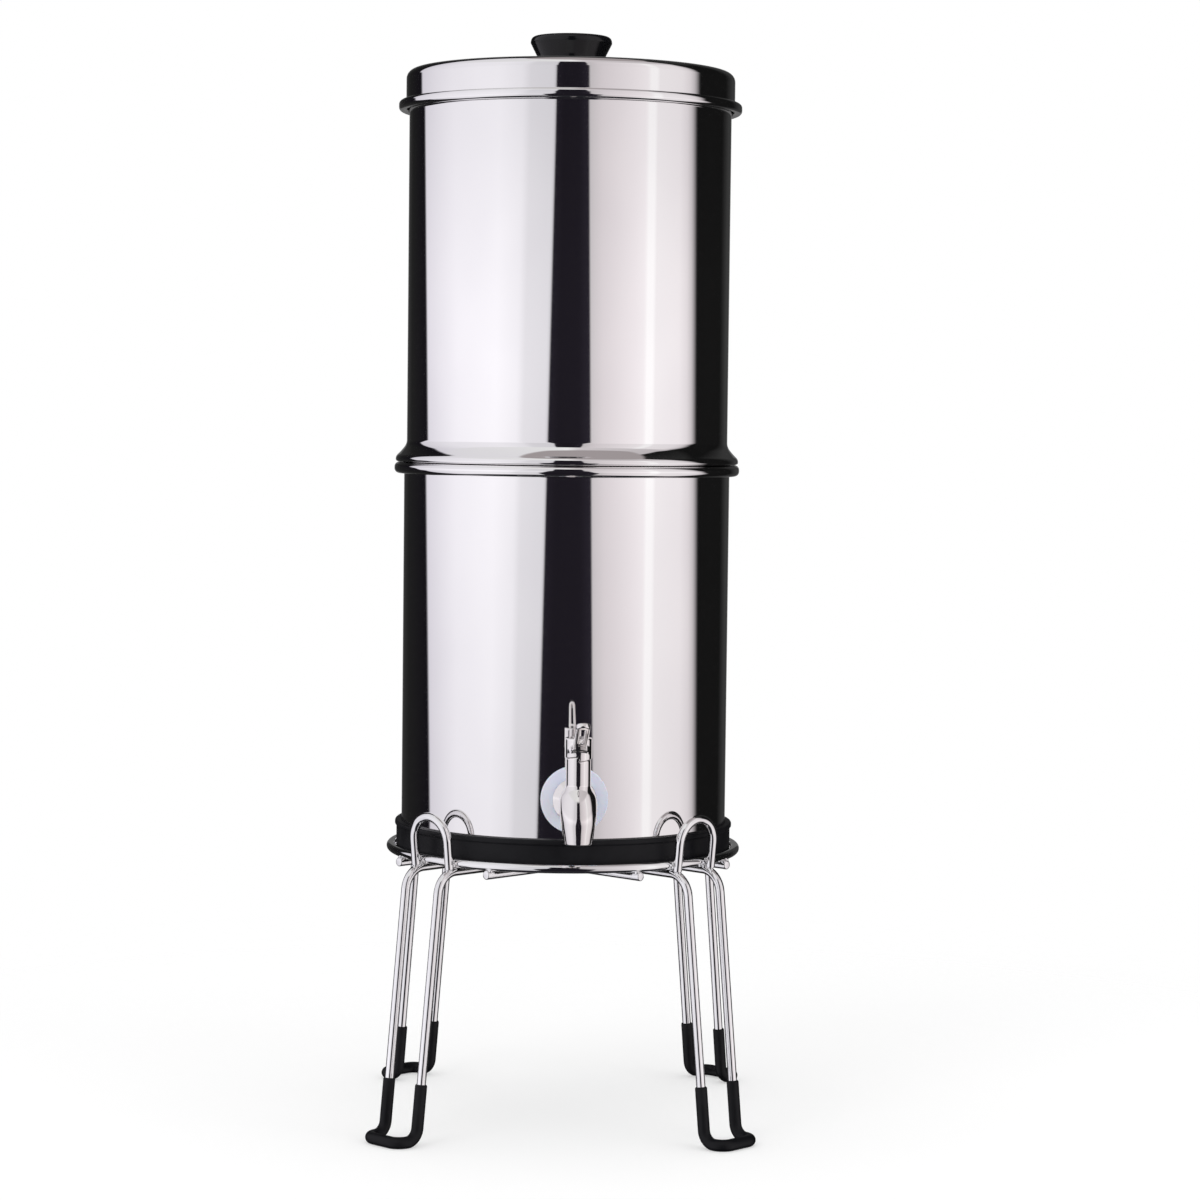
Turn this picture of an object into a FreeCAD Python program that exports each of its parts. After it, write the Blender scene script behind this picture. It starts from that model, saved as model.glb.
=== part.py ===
import FreeCAD, Part
import math
import os

# Gravity water filter: two stacked steel tanks with a lid and a tap, on a wire stand.
# Millimetres, +Z up. The origin is on the tanks' axis at the level of the worktop,
# and the tap points towards -Y.

# Clearances
rest_gap = 0.3            # between a loose piece and the seat that it rests on
running_gap = 0.05        # between a sliding or turning piece and its bore, on the radius
sleeve_gap = 0.1          # between a stretched rubber piece and what it grips
weld_sink = 0.3           # how far two welded wires melt into each other
edge_round = 0.8          # broken edge of a moulded or turned piece
overrun = 1.0             # how far a cut goes past the face where it ends
wall_cut = 10.0           # reach of a cut through a tank's wall, each way

# Sheet metal tanks and lid
sheet = 0.8               # wall of the lid and both tanks
lower_radius = 110.5      # outside of the lower tank
lower_height = 261.4      # lower tank, underside to the top of its rim
lower_corner = 5.0        # bend between its wall and floor
upper_radius = 108.8      # outside of the upper tank
upper_reach = 259.6       # upper tank, underside of its shoulder to its top edge
upper_nest = 20.7         # how deep the upper tank reaches into the lower one
upper_corner = 6.0        # bend between its wall and floor
shoulder_radius = 116.3   # outside of the pressed shoulder that carries the upper tank
shoulder_height = 11.5    # shoulder, from its underside to where the wall is straight
shoulder_lip = 2.9        # upright edge of the shoulder
shoulder_fold = 1.2       # bends of the shoulder's underside
shoulder_lip_bend = 4.0
flare_bend = 8.0          # where the shoulder runs out into the wall
hem_radius = 0.9          # beaded top edge of the upper tank
rim_width = 6.6           # rolled rim of the lower tank, beyond its wall
rim_height = 7.6
rim_edge_gap = 0.8        # between a rolled rim's cut edge and the wall
lid_play = 0.5            # between the lid's wall and the upper tank's beaded edge
lid_depth = 27.5          # lid, top to the lower edge
lid_corner = 6.0          # outer bend between the lid's top and wall
lid_rim_width = 4.9       # rolled rim of the lid, beyond its wall
lid_rim_height = 6.8

# Lid knob
knob_top_radius = 27.6
knob_neck_radius = 22.3
knob_base_radius = 20.0
knob_height = 24.2
knob_neck_height = 9.0
knob_crown = 0.3          # how far the top is domed
knob_brim = 4.6           # widest place, below the top
knob_bevel = 0.8          # top's edge, in from the widest place
knob_waist_bend = 20.0
knob_brim_round = 2.0
knob_crown_round = 3.4
knob_screw_radius = 2.2
knob_screw_depth = 14.0   # screw inside the knob
screw_head_radius = 4.5
screw_head_height = 3.0
knob_washer_radius = 7.0
knob_washer_height = 1.2

# Filter elements and blanking plugs in the floor of the upper tank
element_radius = 30.0
element_length = 200.0
element_dome = 9.0        # rounding of the element's top
element_spacing = 90.0    # centre to centre of the two elements
cap_radius = 31.5
cap_height = 12.0
cap_round = 2.0
stem_seat = 6.0           # depth of the outlet in the cap
thread_chamfer = 0.8
stem_radius = 5.0         # threaded outlet of an element, and shank of a plug
stem_bore = 2.5           # outlet passage of an element
stem_drop = 26.0          # threaded outlet below the floor
seal_radius = 11.0
seal_height = 2.4
nut_radius = 8.5
nut_height = 9.0
wing_span = 34.0
wing_drop = 1.5           # wings below the nut
wing_clear = 1.5          # wings below the tank's floor
wing_round = 3.0
wing_thickness = 3.4
plug_spacing = 110.0      # centre to centre of the two plugs
plug_head_radius = 9.5
plug_head_height = 5.0
plug_head_round = 1.5
plug_drop = 15.0
floor_hole_play = 0.4     # hole in the tank floor, beyond the stem's radius

# Rubber base boot
boot_radius = 113.9
boot_lip_radius = 114.9
boot_lip_height = 3.6
boot_lip_slope = 1.0
boot_lip_round = 1.2
boot_lip_inner_round = 0.5
boot_heel_round = 2.0
boot_height = 20.7
boot_floor = 2.4
boot_opening = 95.0       # radius of the opening in the boot's floor

# Tap
washer_rise = 4.2         # outer washer above the boot's lip
tap_reach = 145.0         # barrel axis, out from the tanks' axis
shank_radius = 8.0
shank_bore = 4.5
shank_inside = 15.5       # shank beyond the inside of the tank wall
shank_end_round = 1.0
outer_washer_radius = 22.0
outer_washer_height = 2.5
inner_washer_radius = 15.0
inner_washer_height = 2.4
tap_nut_flats = 24.0
tap_nut_sides = 6
tap_nut_height = 7.0
flange_radius = 14.5
flange_height = 2.5
flange_round = 1.0
neck_radius = 9.0
neck_start = 6.5          # where the flange has narrowed to the neck
neck_blend = 3.0
ball_radius = 12.25
ball_rise = 2.0           # ball centre above the shank axis
barrel_radius = 8.1
barrel_bore = 6.2
barrel_top = 27.0         # lowest point of the cam, above the ball's centre
cam_rise = 3.2            # rise of each of the two cam ramps, over half a turn
cam_gap = 0.2             # between the two cam faces
cam_side_turn = 1.5       # degrees between the two cams' steps
ramp_inner_radius = 3.2   # the cam ramps start inside the bore
seat_drop = 8.0           # valve seat below the ball's centre
seat_radius = 3.5
outlet_duct_radius = 3.2
spout_lean = 35.0         # degrees off vertical where the spout leaves the ball
spout_drop = 26.0         # spout mouth below the ball's centre
spout_steps = 4
mouth_radius = 9.0
mouth_top_radius = 10.4    # where the spout's last straight taper starts
mouth_bore = 6.8
mouth_length = 8.0

# Tap handle, stem and seals
collar_radius = 8.8
collar_height = 15.0      # above the lowest point of the cam
collar_top_wall = 7.0
collar_round = 1.0
lever_length = 49.3       # barrel axis to the tip, along the lever
lever_width = 9.0
lever_root_width = 12.0
lever_thickness = 3.4
lever_rise_angle = 28.0
lever_drop = 11.0         # where the lever's axis meets the barrel's, below the collar's top
lever_root = 7.2
lever_neck = 13.0         # where the lever has narrowed to its width
lever_blend = 6.0
lever_tip_round = 4.0
slot_width = 2.8
slot_start = 22.0
slot_end = 45.0
slot_round = 1.25
spindle_radius = 2.5
spindle_foot_radius = 4.0
spindle_foot_height = 1.5
spindle_pip_radius = 1.9
tap_seal_radius = 5.6
tap_seal_height = 3.0
seat_gap = 0.1            # tap seal above its seat
piston_height = 6.0
piston_rise = 14.0        # piston above the ball's centre
o_ring_section = 0.8
groove_height = 2.4

# Wire stand
wire_radius = 3.0
wire_end_chamfer = 0.6
ring_radius = 117.5       # centre line of the top ring
ring_height = 183.0       # centre line above the worktop
stand_turn = -3.4         # degrees: how the tanks were set down, off square with the stand
leg_count = 4
leg_half_top = 15.6       # half the distance between a leg's two wires, at the top
leg_half_foot = 15.4      # and at the foot
leg_shoulder = 129.7      # distance of the leg from the axis at the height of the grid
leg_splay = 6.2           # degrees off vertical
leg_shoulder_bend = 15.0
heel_bend = 9.0           # between the leg and the foot
toe_straight = 0.4        # foot, between the heel bend and the toe bend
toe_bend = 7.5
sleeve_radius = 4.0
sleeve_height = 40.0      # top of the rubber sleeve above the worktop
sole_flat = 0.5           # how much the toe bar is worn flat
chord_offset = 42.0       # grid wires, from the axis
chord_overhang = 4.0      # grid wires beyond the ring's centre line
hoop_rise = 29.5          # top of a hoop's centre line above the ring's
hoop_half = 16.0
hoop_lean = 5.7           # degrees outwards

# Heights that follow from the sizes above
grid_z = ring_height - 2 * wire_radius + weld_sink
boot_z = grid_z + wire_radius + rest_gap
lower_z = boot_z + boot_floor
lower_rim_z = lower_z + lower_height
shoulder_z = lower_rim_z + rest_gap
upper_z = shoulder_z - upper_nest
upper_floor_z = upper_z + sheet
hem_z = shoulder_z + upper_reach - hem_radius
lid_inner = upper_radius + hem_radius + lid_play
lid_outer = lid_inner + sheet
lid_bend_inner = lid_corner - sheet
lid_bend_reach = lid_bend_inner - hem_radius - rest_gap
lid_bend_offset = upper_radius - (lid_inner - lid_bend_inner)
lid_top = hem_z - math.sqrt(lid_bend_reach ** 2 - lid_bend_offset ** 2) + lid_corner
shank_z = boot_z + boot_height + washer_rise + outer_washer_radius
ball_z = shank_z + ball_rise
cam_z = ball_z + barrel_top
collar_z = cam_z + collar_height
seat_z = ball_z - seat_drop
mouth_z = ball_z - spout_drop
lower_inner = lower_radius - sheet
floor_hole_radius = stem_radius + floor_hole_play
sole_z = sleeve_radius - sole_flat
heel_radius = leg_shoulder + (grid_z - sole_z) * math.tan(math.radians(leg_splay))
heel_reach = heel_bend * math.tan(math.radians(90 - leg_splay) / 2)
foot_reach = heel_radius + heel_reach + toe_straight + toe_bend


def vec(x, y, z):
    return FreeCAD.Vector(x, y, z)


def flat(r, z):
    """A point of a turned section: distance from the axis, and height."""
    return FreeCAD.Vector(r, 0, z)


def unit(vector):
    return vector * (1 / vector.Length)


def rounded_corner(before, corner, after, radius):
    """Start, middle and end of the tangent arc that rounds one corner."""
    if radius == 0:
        return corner, corner, corner
    back = unit(before - corner)
    ahead = unit(after - corner)
    half = back.getAngle(ahead) / 2
    bisector = unit(back + ahead)
    centre = corner + bisector * (radius / math.sin(half))
    reach = radius / math.tan(half)
    return corner + back * reach, centre - bisector * radius, corner + ahead * reach


def rounded_edges(points, radii, closed=False):
    """Straight runs joined by tangent arcs, one radius for each corner passed."""
    count = len(points)
    turns = range(count) if closed else range(1, count - 1)
    arcs = [rounded_corner(points[i - 1], points[i], points[(i + 1) % count], radius)
            for i, radius in zip(turns, radii)]
    edges = []
    here = arcs[-1][2] if closed else points[0]
    for start, middle, end in arcs:
        edges.append(Part.makeLine(here, start))
        if start != end:
            edges.append(Part.Arc(start, middle, end).toShape())
        here = end
    if not closed:
        edges.append(Part.makeLine(here, points[-1]))
    return edges


def section(points, radii):
    """A closed face with rounded corners."""
    return Part.Face(Part.Wire(rounded_edges(points, radii, closed=True)))


def shifted(points, radii, distance):
    """An open outline moved to its left, with its bend radii to match."""
    normals = []
    for a, b in zip(points, points[1:]):
        run = unit(b - a)
        normals.append(flat(-run.z, run.x))
    moved = [points[0] + normals[0] * distance]
    bends = []
    for i in range(1, len(points) - 1):
        first, second = normals[i - 1], normals[i]
        moved.append(points[i] + (first + second) * (distance / (1 + first.dot(second))))
        left_turn = first.x * second.z - first.z * second.x > 0
        bends.append(radii[i - 1] - distance if left_turn else radii[i - 1] + distance)
    moved.append(points[-1] + normals[-1] * distance)
    return moved, bends


def bent_sheet(points, radii):
    """The section of one sheet whose middle follows the outline."""
    left = shifted(points, radii, sheet / 2)
    right = shifted(points, radii, -sheet / 2)
    edges = rounded_edges(*left) + rounded_edges(*right)
    edges.append(Part.makeLine(left[0][0], right[0][0]))
    edges.append(Part.makeLine(left[0][-1], right[0][-1]))
    return Part.Face(Part.Wire(Part.__sortEdges__(edges)))


def turned(face):
    return face.revolve(vec(0, 0, 0), vec(0, 0, 1), 360)


def disc(radius, bottom, top, x=0, y=0):
    return Part.makeCylinder(radius, top - bottom, vec(x, y, bottom))


def swept_rod(points, radii, radius):
    """A round wire along straight runs joined by bends."""
    path = Part.Wire(rounded_edges(points, radii))
    start = Part.Wire([Part.makeCircle(radius, points[0], points[1] - points[0])])
    return path.makePipeShell([start], True, False)


def out_of_tank(shape):
    """Turns a shape built along +Z about the origin to lie along the tap's shank."""
    shape.rotate(vec(0, 0, 0), vec(1, 0, 0), 90)
    shape.translate(vec(0, 0, shank_z))
    return shape


# Lid

def lid_shell():
    top = lid_top - sheet / 2
    wall = lid_outer - sheet / 2
    low = lid_top - lid_depth + sheet / 2
    out = lid_outer + lid_rim_width - sheet / 2
    high = low + lid_rim_height - sheet
    bend = (lid_rim_width - sheet) / 2
    outline = [flat(knob_screw_radius + floor_hole_play, top), flat(wall, top), flat(wall, low),
               flat(out, low), flat(out, high), flat(wall + sheet / 2 + rim_edge_gap, high)]
    return turned(bent_sheet(outline, [lid_corner - sheet / 2, bend, bend, bend]))


def lid_knob():
    base = lid_top
    top = base + knob_height
    outline = [flat(0, base), flat(knob_base_radius, base),
               flat(knob_neck_radius, base + knob_neck_height),
               flat(knob_top_radius, top - knob_brim),
               flat(knob_top_radius - knob_bevel, top - knob_crown), flat(0, top)]
    bends = [0, edge_round, knob_waist_bend, knob_brim_round, knob_crown_round, 0]
    knob = turned(section(outline, bends))
    hole_radius = knob_screw_radius + sleeve_gap
    return knob.cut(disc(hole_radius, base, base + knob_screw_depth + overrun))


def knob_washer():
    high = lid_top - sheet
    washer = disc(knob_washer_radius, high - knob_washer_height, high)
    return washer.cut(disc(knob_screw_radius + floor_hole_play, high - knob_washer_height, high))


def knob_screw():
    seat = lid_top - sheet - knob_washer_height
    head = disc(screw_head_radius, seat - screw_head_height, seat)
    head = head.makeFillet(screw_head_height / 2, [head.Edges[2]])
    return head.fuse(disc(knob_screw_radius, seat, lid_top + knob_screw_depth)).removeSplitter()


# Upper tank

def filter_places():
    return [(-element_spacing / 2, 0), (element_spacing / 2, 0)]


def plug_places():
    return [(0, -plug_spacing / 2), (0, plug_spacing / 2)]


def upper_tank():
    wall = upper_radius - sheet / 2
    low = shoulder_z + sheet / 2
    out = shoulder_radius - sheet / 2
    outline = [flat(0, upper_z + sheet / 2), flat(wall, upper_z + sheet / 2), flat(wall, low),
               flat(out, low), flat(out, low + shoulder_lip), flat(wall, low + shoulder_height),
               flat(wall, hem_z)]
    bends = [upper_corner, shoulder_fold, shoulder_fold, shoulder_lip_bend, flare_bend]
    tank = turned(bent_sheet(outline, bends))
    tank = tank.fuse(Part.makeTorus(upper_radius, hem_radius, vec(0, 0, hem_z)))
    for x, y in filter_places() + plug_places():
        tank = tank.cut(disc(floor_hole_radius, upper_z - overrun, upper_floor_z + overrun, x, y))
    return tank.removeSplitter()


def filter_body(x, y):
    low = upper_floor_z + seal_height + cap_height
    body = disc(element_radius, low, low + element_length, x, y)
    return body.makeFillet(element_dome, [body.Edges[0]])


def filter_cap(x, y):
    low = upper_floor_z + seal_height
    cap = disc(cap_radius, low, low + cap_height, x, y)
    cap = cap.makeFillet(cap_round, [cap.Edges[0]])
    return cap.cut(disc(stem_radius, low, low + stem_seat, x, y))


def filter_stem(x, y):
    low = upper_z - stem_drop
    high = upper_floor_z + seal_height + stem_seat
    stem = disc(stem_radius, low, high, x, y)
    stem = stem.makeChamfer(thread_chamfer, [stem.Edges[2]])
    return stem.cut(disc(stem_bore, low, high, x, y))


def floor_seal(x, y):
    top = upper_floor_z + seal_height
    seal = disc(seal_radius, upper_floor_z, top, x, y)
    return seal.cut(disc(stem_radius + sleeve_gap, upper_floor_z, top, x, y))


def wing_nut(x, y, turn):
    """A round nut with two upright wings, under the floor of the upper tank."""
    low = upper_z - nut_height
    nut = disc(nut_radius, low, upper_z)
    foot = low - wing_drop
    top = upper_z - wing_clear
    reach = wing_span / 2
    outline = [flat(-reach, foot), flat(reach, foot), flat(reach, top), flat(-reach, top)]
    wings = section(outline, [wing_round] * 4).extrude(vec(0, wing_thickness, 0))
    wings.translate(vec(0, -wing_thickness / 2, 0))
    nut = nut.fuse(wings).cut(disc(stem_radius + sleeve_gap, foot - overrun, upper_z))
    nut = nut.removeSplitter()
    nut.rotate(vec(0, 0, 0), vec(0, 0, 1), turn)
    nut.translate(vec(x, y, 0))
    return nut


def blanking_plug(x, y):
    head = disc(plug_head_radius, upper_floor_z, upper_floor_z + plug_head_height, x, y)
    head = head.makeFillet(plug_head_round, [head.Edges[0]])
    return head.fuse(disc(stem_radius, upper_z - plug_drop, upper_floor_z, x, y)).removeSplitter()


# Lower tank and its boot

def lower_tank():
    wall = lower_radius - sheet / 2
    low = lower_z + sheet / 2
    high = lower_rim_z - sheet / 2
    out = lower_radius + rim_width - sheet / 2
    under = high - rim_height + sheet
    bend = (rim_width - sheet) / 2
    outline = [flat(0, low), flat(wall, low), flat(wall, high), flat(out, high),
               flat(out, under), flat(wall + sheet / 2 + rim_edge_gap, under)]
    tank = turned(bent_sheet(outline, [lower_corner, bend, bend, bend]))
    hole = out_of_tank(disc(shank_radius + floor_hole_play, lower_radius - wall_cut,
                            lower_radius + wall_cut))
    return tank.cut(hole)


def base_boot():
    low = boot_z
    high = boot_z + boot_height
    fit = lower_radius + sleeve_gap
    bend = lower_corner + sheet / 2 + sleeve_gap
    lip = high - boot_lip_height
    outline = [flat(boot_opening, low), flat(boot_radius, low), flat(boot_radius, lip),
               flat(boot_lip_radius, lip + boot_lip_slope), flat(boot_lip_radius, high), flat(fit, high),
               flat(fit, low + boot_floor), flat(boot_opening, low + boot_floor)]
    bends = [edge_round, boot_heel_round, 0, 0, boot_lip_round, boot_lip_inner_round, bend, edge_round]
    return turned(section(outline, bends))


# Tap body and what clamps it

def tank_face(radius, side):
    """The tank's round wall as a solid, to cut a washer's face to."""
    return Part.makeCylinder(radius, side, vec(0, 0, shank_z - side / 2))


def tap_body():
    back = lower_radius + outer_washer_height
    outline = [flat(0, lower_inner - shank_inside), flat(shank_radius, lower_inner - shank_inside),
               flat(shank_radius, back), flat(flange_radius, back),
               flat(flange_radius, back + flange_height), flat(neck_radius, back + neck_start),
               flat(neck_radius, tap_reach), flat(0, tap_reach)]
    bends = [0, shank_end_round, 0, 0, flange_round, neck_blend, 0, 0]
    body = out_of_tank(turned(section(outline, bends)))
    ball = Part.makeSphere(ball_radius, vec(0, -tap_reach, ball_z))
    barrel = disc(barrel_radius, ball_z, cam_z + cam_rise, 0, -tap_reach)
    body = body.fuse([ball, barrel, spout()])
    body = body.cut([cam_side(above=True, rise=0, turn=0), tap_chamber(), outlet_duct()])
    return body.removeSplitter()


def spout():
    """The tapering bent spout, as rings along an arc that ends upright."""
    lean = math.radians(spout_lean)
    bend = (spout_drop - mouth_length) / math.sin(lean)
    rings = []
    for step in range(spout_steps + 1):
        share = step / spout_steps
        angle = lean * (1 - share)
        out = tap_reach + bend * (math.cos(angle) - math.cos(lean))
        z = ball_z - bend * (math.sin(lean) - math.sin(angle))
        radius = ball_radius + (mouth_top_radius - ball_radius) * share ** 2
        along = vec(0, -math.sin(angle), -math.cos(angle))
        rings.append(Part.Wire([Part.makeCircle(radius, vec(0, -out, z), along)]))
    neck = Part.makeLoft(rings, True, False)
    mouth = Part.makeCone(mouth_radius, mouth_top_radius, mouth_length, vec(0, -mouth_reach(), mouth_z))
    rim = min(mouth.Edges, key=lambda edge: edge.BoundBox.ZMax)
    return neck.fuse(mouth.makeFillet(edge_round, [rim]))


def mouth_reach():
    """How far out from the tanks' axis the spout's mouth lies."""
    lean = math.radians(spout_lean)
    bend = (spout_drop - mouth_length) / math.sin(lean)
    return tap_reach + bend * (1 - math.cos(lean))


def tap_chamber():
    """The water's way: shank bore, valve chamber and seat."""
    bore = out_of_tank(disc(shank_bore, lower_inner - shank_inside - overrun, tap_reach))
    chamber = disc(barrel_bore, seat_z, cam_z + cam_rise + overrun, 0, -tap_reach)
    return bore.fuse(chamber)


def outlet_duct():
    """The way from the valve seat down into the open mouth."""
    seat = vec(0, -tap_reach, seat_z)
    mouth = vec(0, -mouth_reach(), mouth_z + mouth_length)
    duct = Part.makeCylinder(outlet_duct_radius, (mouth - seat).Length, seat, mouth - seat)
    throat = disc(seat_radius, seat_z - overrun, seat_z + overrun, 0, -tap_reach)
    bore = disc(mouth_bore, mouth_z - overrun, mouth_z + mouth_length, 0, -mouth_reach())
    dome = Part.makeSphere(mouth_bore, mouth)
    return duct.fuse([throat, bore, dome])


def cam_side(above, rise, turn):
    """All that lies above, or below, the two ramps of the face cam on the barrel."""
    reach = collar_radius + overrun
    inner = Part.makeHelix(2 * cam_rise, cam_rise, ramp_inner_radius).Edges[0]
    outer = Part.makeHelix(2 * cam_rise, cam_rise, reach).Edges[0]
    ramp = Part.makeRuledSurface(inner, outer)
    depth = collar_height * (1 if above else -1)
    half = ramp.extrude(vec(0, 0, depth))
    other = half.copy()
    other.rotate(vec(0, 0, 0), vec(0, 0, 1), 180)
    both = Part.Compound([half, other])
    both.rotate(vec(0, 0, 0), vec(0, 0, 1), turn - 90)
    both.translate(vec(0, -tap_reach, cam_z + rise))
    return both


def outer_washer():
    start = lower_radius - wall_cut
    end = lower_radius + outer_washer_height
    washer = out_of_tank(disc(outer_washer_radius, start, end))
    washer = washer.makeFillet(edge_round, [washer.Edges[0]])
    hole = out_of_tank(disc(shank_radius + sleeve_gap, start - overrun, end + overrun))
    return washer.cut([hole, tank_face(lower_radius, 4 * outer_washer_radius)])


def inner_washer():
    washer = out_of_tank(disc(inner_washer_radius, lower_inner - inner_washer_height, lower_inner))
    hole = out_of_tank(disc(shank_radius + sleeve_gap, lower_inner - wall_cut, lower_inner + wall_cut))
    return washer.common(tank_face(lower_inner, 4 * inner_washer_radius)).cut(hole)


def tap_nut():
    high = lower_inner - inner_washer_height
    corner = tap_nut_flats / math.sqrt(3)
    corners = []
    for i in range(tap_nut_sides):
        turn = 2 * math.pi * i / tap_nut_sides
        corners.append(vec(corner * math.cos(turn), corner * math.sin(turn), high - tap_nut_height))
    hexagon = section(corners, [0] * tap_nut_sides).extrude(vec(0, 0, tap_nut_height))
    bevel = Part.makeCone(tap_nut_flats / 2, tap_nut_flats / 2 + 2 * tap_nut_height,
                          2 * tap_nut_height, vec(0, 0, high - tap_nut_height))
    bore = disc(shank_radius + sleeve_gap, high - tap_nut_height, high)
    return out_of_tank(hexagon.common(bevel).cut(bore))


# Tap handle and stem

def tap_handle():
    collar = disc(collar_radius, cam_z - overrun, collar_z, 0, -tap_reach)
    collar = collar.makeFillet(collar_round, [collar.Edges[0]])
    handle = collar.fuse(lever())
    top = collar_z - collar_top_wall
    hollow = disc(barrel_bore + cam_gap, cam_z - 2 * overrun, top, 0, -tap_reach)
    bore = disc(spindle_radius + running_gap, cam_z, collar_z, 0, -tap_reach)
    below = cam_side(above=False, rise=cam_gap, turn=cam_side_turn)
    return handle.cut([hollow, bore, below]).removeSplitter()


def lever():
    """The loop lever: a narrow flat loop that rises away from the collar."""
    half = lever_width / 2
    root = lever_root_width / 2
    outline = [vec(-root, -lever_root, 0), vec(root, -lever_root, 0), vec(half, -lever_neck, 0),
               vec(half, -lever_length, 0), vec(-half, -lever_length, 0), vec(-half, -lever_neck, 0)]
    plate = section(outline, [0, 0, lever_blend, lever_tip_round, lever_tip_round, lever_blend])
    slot_half = slot_width / 2
    slot = section([vec(-slot_half, -slot_start, 0), vec(slot_half, -slot_start, 0),
                    vec(slot_half, -slot_end, 0), vec(-slot_half, -slot_end, 0)], [slot_round] * 4)
    loop = plate.cut(slot).extrude(vec(0, 0, lever_thickness))
    loop.translate(vec(0, 0, -lever_thickness / 2))
    loop.rotate(vec(0, 0, 0), vec(1, 0, 0), -lever_rise_angle)
    loop.translate(vec(0, -tap_reach, collar_z - lever_drop))
    return loop


def spindle():
    """The stem: a foot on the valve seal, a piston with its groove, and a rod to the handle."""
    seal_top = seat_z + seat_gap + tap_seal_height
    piston_z = ball_z + piston_rise
    groove_z = piston_z + (piston_height - groove_height) / 2
    groove_radius = barrel_bore - running_gap - 2 * o_ring_section - running_gap
    rod = disc(spindle_radius, seal_top, collar_z, 0, -tap_reach)
    foot = disc(spindle_foot_radius, seal_top, seal_top + spindle_foot_height, 0, -tap_reach)
    pip = disc(spindle_pip_radius, seat_z + 2 * seat_gap, seal_top, 0, -tap_reach)
    piston = disc(barrel_bore - running_gap, piston_z, piston_z + piston_height, 0, -tap_reach)
    groove = disc(barrel_bore, groove_z, groove_z + groove_height, 0, -tap_reach)
    core = disc(groove_radius, groove_z, groove_z + groove_height, 0, -tap_reach)
    return rod.fuse([foot, pip, piston.cut(groove.cut(core))]).removeSplitter()


def tap_seal():
    low = seat_z + seat_gap
    seal = disc(tap_seal_radius, low, low + tap_seal_height, 0, -tap_reach)
    hole = disc(spindle_pip_radius + running_gap, low, low + tap_seal_height, 0, -tap_reach)
    return seal.cut(hole)


def o_ring():
    centre = barrel_bore - running_gap - o_ring_section
    z = ball_z + piston_rise + piston_height / 2
    return Part.makeTorus(centre, o_ring_section, vec(0, -tap_reach, z))


# Wire stand

def around(shape, azimuth):
    """Turns a shape built towards +X to its place in the stand."""
    shape.rotate(vec(0, 0, 0), vec(0, 0, 1), azimuth + stand_turn)
    return shape


def leg_azimuth(index):
    return 360 * (index + 0.5) / leg_count - 180


def stand_ring():
    return Part.makeTorus(ring_radius, wire_radius, vec(0, 0, ring_height))


def stand_grid():
    """Two crossing pairs of straight wires under the ring."""
    reach = math.sqrt(ring_radius ** 2 - chord_offset ** 2) + chord_overhang
    bars = []
    for azimuth in (45, 135):
        for side in (-1, 1):
            start = vec(-reach, side * chord_offset, grid_z)
            bar = Part.makeCylinder(wire_radius, 2 * reach, start, vec(1, 0, 0))
            bar = bar.makeChamfer(wire_end_chamfer, [bar.Edges[0], bar.Edges[2]])
            bars.append(around(bar, azimuth))
    return bars[0].fuse(bars[1:]).removeSplitter()


def leg_point(z, side):
    """A point of the leg's straight splayed run, at a height."""
    down = grid_z - z
    half = leg_half_top + (leg_half_foot - leg_half_top) * down / (grid_z - sole_z)
    return vec(leg_shoulder + down * math.tan(math.radians(leg_splay)), side * half, z)


def foot_points():
    """Heel, toe, toe and heel: the corners of the loop that the leg stands on."""
    toe = vec(foot_reach, leg_half_foot, sole_z)
    other = vec(foot_reach, -leg_half_foot, sole_z)
    return [leg_point(sole_z, 1), toe, other, leg_point(sole_z, -1)]


def stand_leg(index):
    """One wire: in from the grid, over the shoulder, down, round the toe and back."""
    root = chord_offset + wire_radius / 2
    starts = [vec(root, side * leg_half_top, grid_z) for side in (1, -1)]
    points = [starts[0], leg_point(grid_z, 1)] + foot_points() + [leg_point(grid_z, -1), starts[1]]
    bends = [leg_shoulder_bend, heel_bend, toe_bend, toe_bend, heel_bend, leg_shoulder_bend]
    return around(swept_rod(points, bends, wire_radius), leg_azimuth(index))


def foot_sleeve(index):
    points = [leg_point(sleeve_height, 1)] + foot_points() + [leg_point(sleeve_height, -1)]
    past = sleeve_height + overrun
    above = [leg_point(past, 1)] + foot_points() + [leg_point(past, -1)]
    bends = [heel_bend, toe_bend, toe_bend, heel_bend]
    sleeve = swept_rod(points, bends, sleeve_radius)
    bore = swept_rod(above, bends, wire_radius + sleeve_gap)
    corner = vec(foot_reach / 2, -foot_reach / 2, -foot_reach)
    floor = Part.makeBox(foot_reach, foot_reach, foot_reach, corner)
    return around(sleeve.cut([bore, floor]), leg_azimuth(index))


def stand_hoop(index):
    """A hairpin hoop on the outside of the ring, which keeps the boot in its place."""
    lean = math.radians(hoop_lean)
    ring_here = math.sqrt(ring_radius ** 2 - hoop_half ** 2)
    out = ring_here + 2 * wire_radius - weld_sink
    drop = grid_z + wire_radius / 2 - ring_height
    arch = hoop_rise - hoop_half

    def at(side, rise):
        return vec(out + rise * math.tan(lean), side * hoop_half, ring_height + rise)

    top = vec(out + hoop_rise * math.tan(lean), 0, ring_height + hoop_rise)
    edges = [Part.makeLine(at(1, drop), at(1, arch)),
             Part.Arc(at(1, arch), top, at(-1, arch)).toShape(),
             Part.makeLine(at(-1, arch), at(-1, drop))]
    path = Part.Wire(edges)
    start = Part.Wire([Part.makeCircle(wire_radius, at(1, drop), at(1, arch) - at(1, drop))])
    return around(path.makePipeShell([start], True, False), leg_azimuth(index))


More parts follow.
